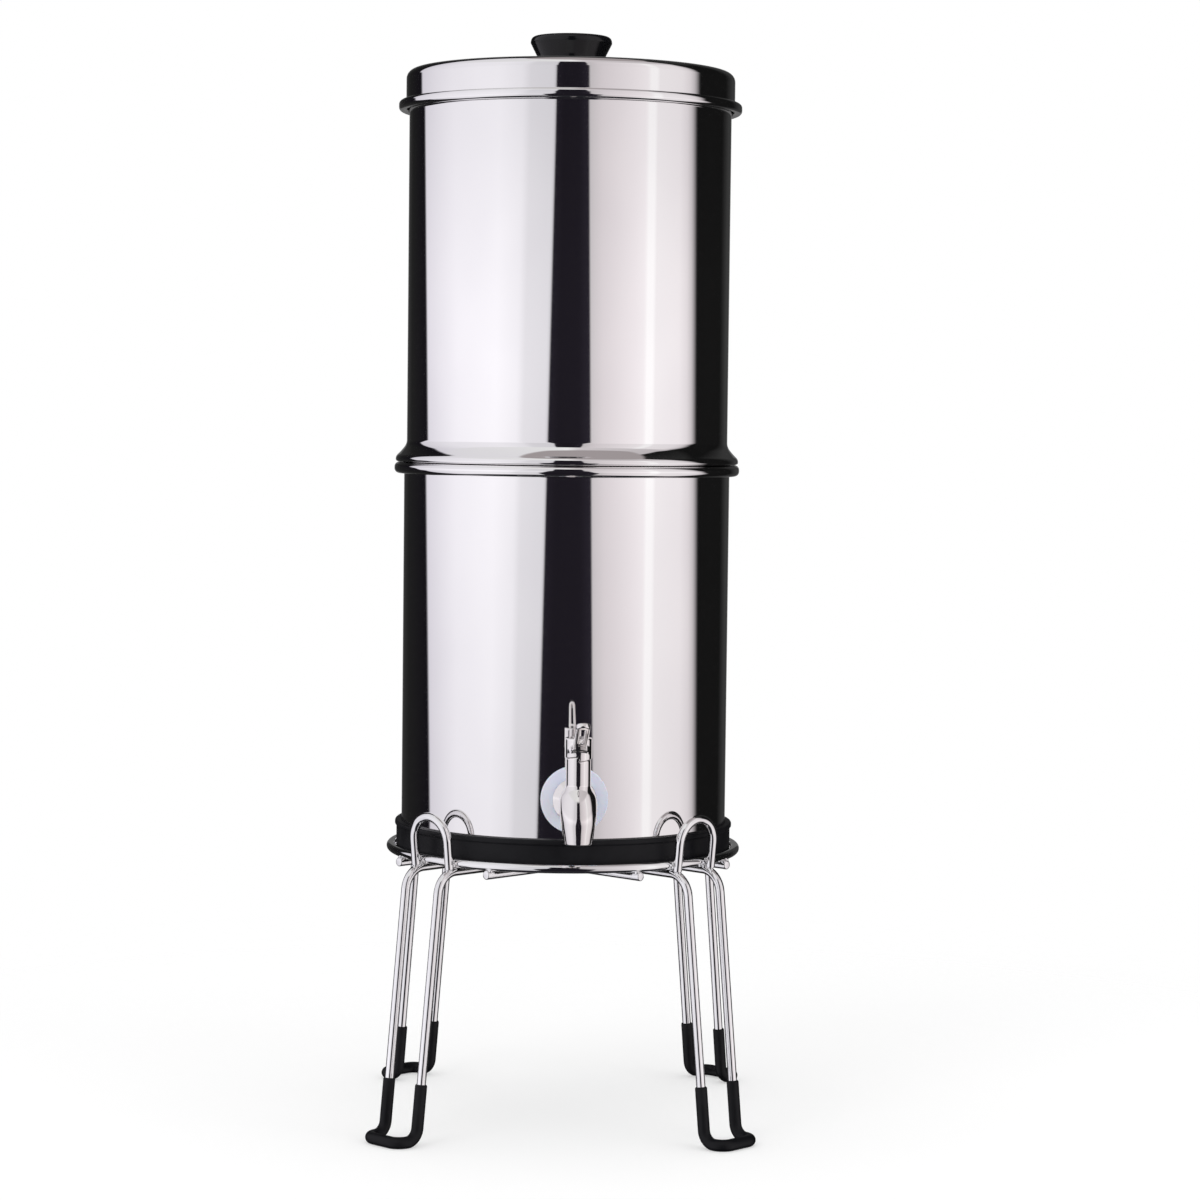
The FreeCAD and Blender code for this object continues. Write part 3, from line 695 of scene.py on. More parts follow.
@dataclass
class Workshop:
    """What every sub-assembly needs to finish its pieces."""

    finishes: Finishes = field(default_factory=Finishes)
    wires: Tree = field(default_factory=wire_tree)
    threads: Tree = field(default_factory=thread_tree)
    welds: Tree = field(default_factory=weld_tree)

    def done(self, obj: Piece, slot: str, body: Body, *nodes: str) -> Piece:
        """Dress a piece, and let it ride and stand for its CAD nodes.

        Args:
            obj: The piece.
            slot: The material slot of its finish.
            body: The body that it rides on.
            nodes: The CAD nodes that it stands for.

        Returns:
            The piece.
        """
        obj.data.materials.clear()
        obj.data.materials.append(self.finishes[slot])
        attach(obj, body.value)
        if nodes:
            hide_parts(*nodes)
        log.info("%s: %d faces, rides on %s", obj.name, len(obj.data.polygons), body.value)
        return obj

    def bent(self, name: str, corners: Sequence[Sequence[float]], bends: Sequence[float], radius: float,
             slot: str, closed: bool = False, capped: bool = True) -> Piece:
        """Bend a wire along a path.

        Args:
            name: The piece's name.
            corners: The path's corners in mm.
            bends: The bend radius at each corner, and 0 at both ends.
            radius: The wire's radius in mm.
            slot: The material slot of its finish.
            closed: Whether the path is a loop, which has no cut ends to round.
            capped: Whether its ends are closed.

        Returns:
            The wire.
        """
        path = [(Vector(c), bend, 1.0) for c, bend in zip(corners, bends)]
        for end, inner in () if closed else ((0, 1), (-1, -2)):
            tip = path[end][0]
            edge = (path[inner][0] - tip).normalized() * radius * CUT_EDGE
            cut_end = [(tip + edge * (1 - math.sin(a)), 0.0, 1 - CUT_EDGE * (1 - math.cos(a)))
                       for a in map(math.radians, (90, 70, 50, 25, 0))]
            path = path[:-1] + cut_end[::-1] if end else cut_end + path[1:]
        mesh = bpy.data.meshes.new(name)
        edges = [(i, (i + 1) % len(path)) for i in range(len(path) - (not closed))]
        mesh.from_pydata([tuple(p * MM) for p, _, _ in path], edges, [])
        for key, column, scale in (("bend", 1, MM), ("girth", 2, 1)):
            layer = mesh.attributes.new(key, "FLOAT", "POINT")
            layer.data.foreach_set("value", [point[column] * scale for point in path])
        return self.wires.run(placed(name, mesh), 60, Radius=radius * MM, Sides=40, Bend_Points=14,
                              Closed=closed, Capped=capped, Material=self.finishes[slot])

    def threaded(self, obj: Piece, core: float, pitch: float, start: Sequence[float],
                 length: float, slot: str, along_tank: bool = False) -> Piece:
        """Wind a thread round a piece.

        Args:
            obj: The core piece.
            core: Radius of the core in mm.
            pitch: Rise of one turn.
            start: Where the thread starts, on its axis.
            length: Its length.
            slot: The material slot of its finish.
            along_tank: Whether it points out of the tank and not up.

        Returns:
            The threaded piece.
        """
        return self.threads.run(obj, Core_Radius=core * MM, Depth=THREAD * MM, Turns=length / pitch,
                                Length=length * MM, Place=tuple(v * MM for v in start),
                                Tilt=(math.pi / 2 if along_tank else 0.0, 0.0, 0.0),
                                Material=self.finishes[slot])


# Heights that the sub-assemblies share, in mm above the worktop


@dataclass(frozen=True)
class Levels:
    """Where the sub-assemblies meet."""

    grid: float = 177.3
    ring: float = 183.0
    boot: float = 180.6
    lower: float = 183.0
    lower_rim: float = 444.4
    shoulder: float = 444.7
    upper: float = 424.0
    hem: float = 703.4
    shank: float = 227.5
    ball: float = 229.5
    seat: float = 221.5
    cam: float = 256.5
    collar: float = 271.5
    tap_reach: float = 145.0


LEVELS = Levels()


@dataclass
class Lid:
    """The lid with its knob."""

    top: float = 708.15
    outer: float = 111.0
    depth: float = 27.5
    corner: float = 6.0
    rim_width: float = 4.9
    rim_height: float = 6.8
    rim_gap: float = 0.8
    knob_height: float = 24.2
    knob_top: float = 27.6
    knob_neck: float = 22.3
    knob_base: float = 20.0
    screw: float = 2.2

    def shell(self) -> Piece:
        """Make the pressed shell with its rolled rim."""
        half = SHEET / 2
        top, wall = self.top - half, self.outer - half
        low = self.top - self.depth + half
        out = self.outer + self.rim_width - half
        high = low + self.rim_height - SHEET
        bend = (self.rim_width - SHEET) / 2
        outline = bent_sheet([(self.screw + 0.4, top, 0), (wall, top, self.corner - half), (wall, low, bend),
                              (out, low, bend), (out, high, bend), (wall + half + self.rim_gap, high, 0)])
        return turned("lid_shell_pressing", outline)

    def knob(self) -> Piece:
        """Make the moulded knob with its waist."""
        base, top = self.top, self.top + self.knob_height
        bore, depth = self.screw + 0.1, 15.0
        outline = rounded([(0, base + depth, 0), (bore, base + depth, 0), (bore, base, 0),
                           (self.knob_base, base, 0.8), (self.knob_neck, base + 9, 20),
                           (self.knob_top, top - 4.6, 2), (self.knob_top - 0.8, top - 0.3, 3.4), (0, top, 0)])
        return turned("lid_knob_moulding", outline, steps=160)

    def washer(self) -> Piece:
        """Make the washer under the lid."""
        high = self.top - SHEET
        outline = ring_outline(self.screw + 0.4, 7.0, high - 1.2, high, 0.15)
        return turned("knob_washer_disc", outline, steps=64)

    def screw_piece(self) -> Piece:
        """Make the screw with its domed head and cross recess."""
        seat = self.top - SHEET - 1.2
        outline = rounded([(0, seat - 3, 0), (4.5, seat - 3, 1.5), (4.5, seat, 0.2), (self.screw, seat, 0),
                           (self.screw, self.top + 14, 0.5), (0, self.top + 14, 0)])
        screw = turned("knob_screw_turning", outline, steps=64)
        bars = []
        for turn, deep in ((0, 0.0022), (90, 0.00229)):
            bpy.ops.mesh.primitive_cube_add(size=1)
            bars.append(bpy.context.object)
            bars[-1].data.transform(Matrix.Translation((0, 0, (seat - 2.4) * MM))
                                    @ Matrix.Rotation(math.radians(turn), 4, "Z")
                                    @ Matrix.Diagonal((0.005, 0.001, deep, 1)))
        return cut(screw, bars)

    def build(self, shop: Workshop) -> None:
        """Make and finish every piece of the lid."""
        shop.done(self.shell(), "polished_steel", Body.LID, "lid_shell")
        shop.done(self.knob(), "gloss_black", Body.LID, "lid_knob")
        shop.done(self.washer(), "bright_steel", Body.LID, "knob_washer")
        shop.done(self.screw_piece(), "bright_steel", Body.LID, "knob_screw")


@dataclass
class UpperTank:
    """The upper tank with its shoulder, and the filter elements and plugs in its floor."""

    radius: float = 108.8
    corner: float = 6.0
    shoulder_radius: float = 116.3
    shoulder_height: float = 11.5
    lip: float = 2.9
    hem: float = 0.9
    element_spacing: float = 90.0
    plug_spacing: float = 110.0
    element_radius: float = 30.0
    element_height: float = 200.0
    cap_radius: float = 31.5
    cap_height: float = 12.0
    ribs: int = 3
    rib_pitch: float = 2.4
    seal_height: float = 2.4
    stem: float = 5.0
    core: float = 4.4
    thread_pitch: float = 1.8
    outlet_length: float = 26.0
    plug_length: float = 15.0

    def shell(self) -> Piece:
        """Make the drawn tank with its pressed shoulder and beaded edge."""
        half = SHEET / 2
        wall, low, out = self.radius - half, LEVELS.shoulder + half, self.shoulder_radius - half
        section = bent_sheet([(0, LEVELS.upper + half, 0), (wall, LEVELS.upper + half, self.corner),
                              (wall, low, 1.2), (out, low, 1.2), (out, low + self.lip, 4.0),
                              (wall + 3.4, low + 6.9, 30.0), (wall, low + self.shoulder_height, 8.0),
                              (wall, LEVELS.hem - self.hem, 0)])
        outer, inner = np.flatnonzero(np.abs(section[:, 1] - (LEVELS.hem - self.hem)) < 1e-6)
        angles = np.radians(np.arange(-90, 208, 12))
        bead = (self.radius, LEVELS.hem) + self.hem * np.stack([np.cos(angles), np.sin(angles)], axis=1)
        section[inner][1] = bead[-1][1]
        tank = turned("upper_tank_pressing", np.concatenate([section[:outer], bead, section[inner:]]))
        return cut(tank, [drill(LEVELS.upper - 2, LEVELS.upper + 3, self.stem + 0.4, 48, 2.1, place)
                          for place in self.places()])

    def places(self) -> list[tuple[float, float]]:
        """Give the places of the two elements and the two plugs."""
        across, along = self.element_spacing / 2, self.plug_spacing / 2
        return [(-across, 0), (across, 0), (0, -along), (0, along)]

    def element(self, shop: Workshop, number: int, x: float, y: float) -> None:
        """Make one filter element with its cap, outlet, seal and nut."""
        floor = LEVELS.upper + SHEET
        cap, wide, round_body = floor + self.seal_height, self.cap_radius, self.element_radius
        body = cap + self.cap_height
        top = body + self.element_height
        outline = rounded([(0, body, 0), (round_body, body, 0.5), (round_body, top, 9), (0, top, 0)])
        shop.done(turned(f"filter_body_{number}_block", outline, (x, y), 144), "carbon_block", Body.UPPER,
                  f"filter_body_{number}")
        ribs = [(0, cap + 6, 0), (self.stem, cap + 6, 0), (self.stem, cap, 0.3), (wide, cap, 0.6)]
        for i in range(self.ribs):
            ribs += [(wide - deep, cap + rise + self.rib_pitch * i, 0.2)
                     for deep, rise in ((0, 2.0), (0.5, 2.4), (0.5, 3.0), (0, 3.4))]
        ribs += [(wide, body, 2.0), (0, body, 0)]
        shop.done(turned(f"filter_cap_{number}_moulding", rounded(ribs), (x, y), 144), "white_plastic",
                  Body.UPPER, f"filter_cap_{number}")
        low, core = LEVELS.upper - self.outlet_length, self.core
        outline = rounded([(2.5, low, 0.3), (core, low, 0.6), (core, cap + 6, 0), (2.5, cap + 6, 0)])
        stem = turned(f"filter_stem_{number}_outlet", outline, (x, y), 56)
        shop.threaded(stem, self.core - 0.05, self.thread_pitch, (x, y, low + 1.5), 23.0, "white_plastic")
        shop.done(stem, "white_plastic", Body.UPPER, f"filter_stem_{number}")
        outline = ring_outline(self.stem + 0.1, 11, floor, cap, 0.5)
        seal = turned(f"filter_seal_{number}_ring", outline, (x, y), 96)
        shop.done(seal, "black_rubber", Body.UPPER, f"filter_seal_{number}")
        self.wing_nut(shop, f"filter_nut_{number}", x, y, 90)

    def wing_nut(self, shop: Workshop, node: str, x: float, y: float, turn: float) -> None:
        """Make one plastic wing nut under the floor.

        Args:
            shop: What finishes the piece.
            node: The CAD node that it stands for.
            x: Its place along X.
            y: Its place along Y.
            turn: How it was left turned, in degrees.
        """
        low, high = LEVELS.upper - 9, LEVELS.upper
        away = math.radians(turn)

        def rule(p: Array) -> Array:
            """Give the distance from the nut and its wings."""
            px, py, pz = p.T
            dx, dy = px - x, py - y
            along = dx * math.cos(away) + dy * math.sin(away)
            across = -dx * math.sin(away) + dy * math.cos(away)
            middle, half = (low - 1.5 + high - 1.5) / 2, (high - low) / 2
            span = np.hypot(np.maximum(np.abs(along) - 14, 0),
                            np.maximum(np.abs(pz - middle) - half + 3, 0))
            wings = slab(span - 3, across, 1.7, 0.6)
            nut = blended(post(p, x, y, 8.5, low, high, 0.6), wings, 1.2)
            nut = np.maximum(nut, pz - high)
            return np.maximum(nut, 5.1 - np.hypot(dx, dy))

        nut = cast(f"{node}_moulding", rule, (x - 17, y - 17, low - 1.5), (x + 17, y + 17, high), 0.6)
        shop.done(nut, "white_plastic", Body.UPPER, node)

    def plug(self, shop: Workshop, number: int, x: float, y: float) -> None:
        """Make one blanking plug with its nut."""
        floor = LEVELS.upper + SHEET
        low, core = LEVELS.upper - self.plug_length, self.core
        outline = rounded([(0, low, 0), (core, low, 0.6), (core, floor, 0), (9.5, floor, 0.3),
                           (9.5, floor + 5, 1.5), (3.2, floor + 5, 0.4), (2.6, floor + 4.2, 0.3),
                           (0, floor + 4.2, 0)])
        plug = turned(f"plug_{number}_moulding", outline, (x, y), 72)
        shop.threaded(plug, self.core - 0.05, self.thread_pitch, (x, y, low + 1.5), 14.0, "black_plastic")
        shop.done(plug, "black_plastic", Body.UPPER, f"plug_{number}")
        self.wing_nut(shop, f"plug_nut_{number}", x, y, 0)

    def build(self, shop: Workshop) -> None:
        """Make and finish every piece of the upper tank."""
        shop.done(self.shell(), "polished_steel", Body.UPPER, "upper_tank")
        places = self.places()
        for number, (x, y) in enumerate(places[:2], 1):
            self.element(shop, number, x, y)
        for number, (x, y) in enumerate(places[2:], 1):
            self.plug(shop, number, x, y)


@dataclass
class LowerTank:
    """The lower tank in its rubber boot."""

    radius: float = 110.5
    corner: float = 5.0
    rim_width: float = 6.6
    rim_height: float = 7.6
    rim_gap: float = 0.8
    boot_radius: float = 113.9
    boot_lip_radius: float = 114.9
    boot_height: float = 20.7
    boot_opening: float = 95.0

    def shell(self) -> Piece:
        """Make the drawn tank with its rolled rim and the hole for the tap."""
        half = SHEET / 2
        wall, low, high = self.radius - half, LEVELS.lower + half, LEVELS.lower_rim - half
        out, under = self.radius + self.rim_width - half, LEVELS.lower_rim - half - self.rim_height + SHEET
        bend = (self.rim_width - SHEET) / 2
        section = bent_sheet([(0, low, 0), (wall, low, self.corner), (wall, high, bend), (out, high, bend),
                              (out, under, bend), (wall + half + self.rim_gap, under, 0)])
        outline = []
        for here, ahead in zip(section, np.roll(section, -1, axis=0)):
            outline.append(here)
            if abs(here[0] - ahead[0]) < 1e-6 and abs(here[1] - ahead[1]) > 100:
                marks = [LEVELS.shank - 10, LEVELS.shank + 10]
                outline += [(here[0], z) for z in (marks if ahead[1] > here[1] else marks[::-1])]
        tank = turned("lower_tank_pressing", np.array(outline))
        return cut(tank, [drill(100, 120, 8.4, 64, 1.7, out_of_tank=LEVELS.shank)])

    def boot(self) -> Piece:
        """Make the rubber boot with its lip."""
        low, high = LEVELS.boot, LEVELS.boot + self.boot_height
        fit, lip = self.radius + 0.1, high - 3.6
        outline = rounded([(self.boot_opening, low, 0.8), (self.boot_radius, low, 2.0),
                           (self.boot_radius, lip - 0.5, 0.5), (self.boot_lip_radius, lip + 0.7, 0.5),
                           (self.boot_lip_radius, high, 1.4), (fit, high, 0.5),
                           (fit, low + 2.4, self.corner + 0.5), (self.boot_opening, low + 2.4, 0.8)])
        return turned("base_boot_moulding", outline)

    def build(self, shop: Workshop) -> None:
        """Make and finish the tank and its boot."""
        shop.done(self.shell(), "polished_steel", Body.LOWER, "lower_tank")
        shop.done(self.boot(), "black_rubber", Body.LOWER, "base_boot")


def cam_height(p: Array, turn: float) -> Array:
    """Give the height of the two cam ramps round the tap's barrel.

    Args:
        p: Points in mm.
        turn: How far the cam is turned, in degrees.

    Returns:
        The ramp's height above its lowest point.
    """
    px, py, _ = p.T
    angle = np.degrees(np.arctan2(py + LEVELS.tap_reach, px)) + 90 - turn
    share = np.mod(angle, 180) / 180
    drop = 2.5 / 180
    return 3.2 * np.where(share < 1 - drop, share, (1 - share) * (1 - drop) / drop)


@dataclass
class Tap:
    """The tap's body with its spout, and what clamps it to the tank."""

    flange: float = 14.5
    neck: float = 9.0
    ball: float = 12.25
    barrel: float = 8.1
    bore: float = 6.2
    mouth: float = 9.0
    mouth_top: float = 10.4
    mouth_bore: float = 6.8
    mouth_length: float = 8.0
    drop: float = 26.0
    lean: float = math.radians(35)
    back: float = 113.0
    tank: float = 110.5
    shank_bore: float = 4.5
    shank_radius: float = 7.4
    clamp_hole: float = 8.1
    inner_washer: float = 2.4
    nut_height: float = 7.0
    nut_half: float = 12.0

    @property
    def bend(self) -> float:
        """Radius of the spout's arc."""
        return (self.drop - self.mouth_length) / math.sin(self.lean)

    @property
    def mouth_reach(self) -> float:
        """How far out the spout's mouth lies."""
        return LEVELS.tap_reach + self.bend * (1 - math.cos(self.lean))

    def spout(self, p: Array) -> Array:
        """Give the distance from the tapering bent spout."""
        px, py, pz = p.T
        centre_out = LEVELS.tap_reach - self.bend * math.cos(self.lean)
        centre_z = LEVELS.ball - self.bend * math.sin(self.lean)
        angle = np.clip(np.arctan2(pz - centre_z, -py - centre_out), 0, self.lean)
        share = 1 - angle / self.lean
        radius = self.ball + (self.mouth_top - self.ball) * share * share
        out, z = centre_out + self.bend * np.cos(angle), centre_z + self.bend * np.sin(angle)
        away = from_point(p, out, z) - radius
        low = LEVELS.ball - self.drop
        neck = np.maximum(away, low + self.mouth_length - pz)
        wide = self.mouth + (self.mouth_top - self.mouth) * (pz - low) / self.mouth_length
        side = (np.hypot(px, py + self.mouth_reach) - wide) * 0.985
        end = slab(side, pz - low - self.mouth_length / 2, self.mouth_length / 2, 0.8)
        end = np.where(pz > low + self.mouth_length - 1,
                       np.maximum(side, pz - low - self.mouth_length), end)
        return np.minimum(neck, end)

    def water_way(self, p: Array) -> Array:
        """Give the distance from the hollow inside."""
        px, py, pz = p.T
        out, low = LEVELS.tap_reach, LEVELS.ball - self.drop
        top = low + self.mouth_length
        shank = np.maximum(np.hypot(px, pz - LEVELS.shank) - self.shank_bore, -py - out)
        chamber = np.maximum(np.hypot(px, py + out) - self.bore, LEVELS.seat - pz)
        seat = np.array([0, -out, LEVELS.seat])
        run = np.array([0, -self.mouth_reach, top]) - seat
        share = np.clip((p - seat) @ run / (run @ run), 0, 1)
        duct = np.linalg.norm(p - seat - share[:, None] * run, axis=1) - 3.3
        bore = np.maximum(np.hypot(px, py + self.mouth_reach) - self.mouth_bore, pz - top)
        dome = from_point(p, self.mouth_reach, top) - self.mouth_bore
        return np.minimum.reduce([shank, chamber, duct, bore, dome])

    def rule(self, p: Array) -> Array:
        """Give the distance from the cast body."""
        px, py, pz = p.T
        around = np.hypot(px, pz - LEVELS.shank)
        e = 0.9
        start, rim, neck = self.back + e, self.flange - e, self.neck - e
        side = [(start, rim), (self.back + 2.5 - e, rim), (self.back + 6.0, neck), (LEVELS.tap_reach, neck)]
        shank = far_from_polygon(-py, around, side + [(u, -v) for u, v in side[::-1]]) - e
        ball = from_point(p, LEVELS.tap_reach, LEVELS.ball) - self.ball
        barrel = post(p, 0, -LEVELS.tap_reach, self.barrel, LEVELS.ball, LEVELS.cam + 3.2, 0.3)
        cam = (pz - LEVELS.cam - cam_height(p, 0)) * 0.98
        body = blended(blended(shank, np.minimum(ball, self.spout(p)), 2.4), barrel, 2.0)
        return np.maximum(met(body, cam, 0.5), -self.water_way(p))

    def body(self) -> Piece:
        """Make the cast body in front of the washer."""
        low = (-self.flange, -self.mouth_reach - self.mouth_top - 1, LEVELS.ball - self.drop)
        high = (self.flange, -self.back, LEVELS.cam + 3.2)
        return cast("tap_body_casting", self.rule, low, high, 0.45)

    def shank(self, shop: Workshop) -> Piece:
        """Make the threaded shank through the tank's wall."""
        inner = self.tank - SHEET - 15.5
        outer, bore, core = self.back - 0.1, self.shank_bore, self.shank_radius
        outline = rounded([(bore, inner, 0.4), (core, inner, 0.8), (core, outer, 0), (bore, outer, 0)])
        shank = turned("tap_shank_thread", outline, steps=72, out_of_tank=LEVELS.shank)
        start = (0, -inner - 1.2, LEVELS.shank)
        return shop.threaded(shank, core - 0.05, 1.6, start, 16.5, "tap_steel", along_tank=True)

    def seated(self, name: str, radius: float, face: float, wall: float, edge: float,
               outside: bool) -> Piece:
        """Make a washer with one face curved to the tank's wall.

        Args:
            name: The piece's name.
            radius: The washer's radius in mm.
            face: Where its flat face lies, out from the tanks' axis.
            wall: The radius of the wall that it lies on.
            edge: How far its outer edge is rounded.
            outside: Whether it lies outside the tank.

        Returns:
            The washer.
        """
        steps, hole = 128, self.clamp_hole
        sign = 1 if outside else -1
        rings = [(hole, None), (hole, face)]
        rings += [(radius - edge + edge * math.sin(a), face - sign * edge * (1 - math.cos(a)))
                  for a in np.linspace(0, math.pi / 2, 6)]
        rings += [(radius, None)]
        rings += [(r, None) for r in np.linspace(radius, hole, 9)[1:-1]]
        verts, faces = [], []
        for r, out in rings:
            for j in range(steps):
                a = 2 * math.pi * j / steps
                x, z = r * math.cos(a), r * math.sin(a)
                away = math.sqrt(wall ** 2 - x ** 2) if out is None else out
                verts.append((x, -away, LEVELS.shank + z))
        count = len(rings)
        for i in range(count):
            for j in range(steps):
                a, b = i * steps + j, i * steps + (j + 1) % steps
                c, d = (i + 1) % count * steps + (j + 1) % steps, (i + 1) % count * steps + j
                faces.append((d, c, b, a) if outside else (a, b, c, d))
        return new_object(name, np.array(verts), faces)

    def nut(self) -> Piece:
        """Make the lock nut inside the tank."""
        high = self.tank - SHEET - self.inner_washer
        low = high - self.nut_height

        def rule(p: Array) -> Array:
            """Give the distance from the six-sided nut."""
            px, py, pz = p.T
            x, z, out = px, pz - LEVELS.shank, -py
            sides = [np.abs(x * math.cos(a) + z * math.sin(a)) for a in np.radians((30, 90, 150))]
            hexagon = np.maximum.reduce(sides) - self.nut_half
            around = np.hypot(x, z)
            bevel = (around - self.nut_half - (out - low)) * math.sqrt(0.5)
            body = np.maximum(slab(hexagon, out - (low + high) / 2, self.nut_height / 2, 0.3), bevel)
            return np.maximum(body, self.clamp_hole - around)

        return cast("tap_nut_hexagon", rule, (-14, -high, LEVELS.shank - 14),
                    (14, -low, LEVELS.shank + 14), 0.45, 30)

    def build(self, shop: Workshop) -> None:
        """Make and finish the tap's body and what clamps it."""
        shop.done(self.body(), "tap_steel", Body.LOWER, "tap_body")
        shop.done(self.shank(shop), "tap_steel", Body.LOWER, "tap_body")
        washer = self.seated("tap_outer_washer_disc", 22.0, self.back, self.tank + 0.04, 0.8, True)
        shop.done(washer, "clear_silicone", Body.LOWER, "tap_outer_washer")
        inner = self.tank - SHEET
        washer = self.seated("tap_inner_washer_disc", 15.0, inner - self.inner_washer, inner, 0.5, False)
        shop.done(washer, "clear_silicone", Body.LOWER, "tap_inner_washer")
        shop.done(self.nut(), "bright_steel", Body.LOWER, "tap_nut")


@dataclass
class TapHandle:
    """The cam handle with its loop lever, and the stem that it lifts."""

    collar: float = 8.8
    lever_length: float = 49.3
    rise: float = math.radians(28)
    drop: float = 11.0
    bore: float = 6.2
    rod: float = 2.5

    def rule(self, p: Array) -> Array:
        """Give the distance from the collar and its lever."""
        px, py, pz = p.T
        out = -py - LEVELS.tap_reach
        up = pz - (LEVELS.collar - self.drop)
        along = out * math.cos(self.rise) + up * math.sin(self.rise)
        across = -out * math.sin(self.rise) + up * math.cos(self.rise)
        x = np.abs(px)
        half = 4.5 + 1.5 * np.clip((13 - along) / 5.8, 0, 1) ** 2
        tip = np.hypot(np.maximum(x - 0.5, 0), np.maximum(along - self.lever_length + 4, 0)) - 4.0
        plate = np.maximum(np.where(along > self.lever_length - 4, tip, x - half), 5.0 - along)
        slot = np.hypot(np.maximum(x - 0.15, 0), np.maximum(np.abs(along - 33.5) - 10.25, 0)) - 1.25
        lever = slab(np.maximum(plate, -slot), across, 1.7, 0.9)
        collar = post(p, 0, -LEVELS.tap_reach, self.collar, LEVELS.cam - 2, LEVELS.collar, 1.0)
        body = blended(collar, lever, 1.6)
        round_axis = np.hypot(px, py + LEVELS.tap_reach)
        hollow = np.maximum(round_axis - self.bore - 0.2, pz - LEVELS.collar + 7)
        body = np.maximum(np.maximum(body, -hollow), self.rod + 0.05 - round_axis)
        return met(body, -(pz - LEVELS.cam - 0.2 - cam_height(p, 1.5)) * 0.98, 0.5)

    def handle(self) -> Piece:
        """Make the cast collar and loop lever in one piece."""
        tip = LEVELS.tap_reach + self.lever_length * math.cos(self.rise) + 1
        high = LEVELS.collar - self.drop + self.lever_length * math.sin(self.rise) + 2
        return cast("tap_handle_casting", self.rule, (-9, -tip, LEVELS.cam),
                    (9, -LEVELS.tap_reach + 9, high), 0.38)

    def spindle(self) -> Piece:
        """Make the turned stem with its piston and groove."""
        foot, seal = LEVELS.seat + 0.2, LEVELS.seat + 3.1
        piston = LEVELS.ball + 14
        wall = self.bore - 0.05
        groove = wall - 1.65
        outline = rounded([(0, foot, 0), (1.9, foot, 0.3), (1.9, seal, 0), (4, seal, 0.2),
                           (4, seal + 1.5, 0.2), (self.rod, seal + 1.5, 0), (self.rod, piston, 0),
                           (wall, piston, 0.2),
                           (wall, piston + 1.8, 0.1), (groove, piston + 1.8, 0), (groove, piston + 4.2, 0),
                           (wall, piston + 4.2, 0.1), (wall, piston + 6, 0.2), (self.rod, piston + 6, 0),
                           (self.rod, LEVELS.collar, 0.4), (0, LEVELS.collar, 0)])
        return turned("tap_stem_turning", outline, (0, -LEVELS.tap_reach), 72)

    def build(self, shop: Workshop) -> None:
        """Make and finish the handle, the stem and its seals."""
        shop.done(self.handle(), "tap_steel", Body.HANDLE, "tap_handle")
        shop.done(self.spindle(), "bright_steel", Body.STEM, "tap_stem")
        place = (0, -LEVELS.tap_reach)
        low = LEVELS.seat + 0.1
        seal = turned("tap_seal_disc", ring_outline(1.95, 5.6, low, low + 3, 0.2), place, 72)
        shop.done(seal, "black_rubber", Body.STEM, "tap_seal")
        angles = np.radians(np.arange(0, 360, 15))
        ring = np.stack([5.35 + 0.8 * np.cos(angles), LEVELS.ball + 17 + 0.8 * np.sin(angles)], axis=1)
        shop.done(turned("tap_o_ring_loop", ring, place, 96), "black_rubber", Body.STEM, "tap_o_ring")


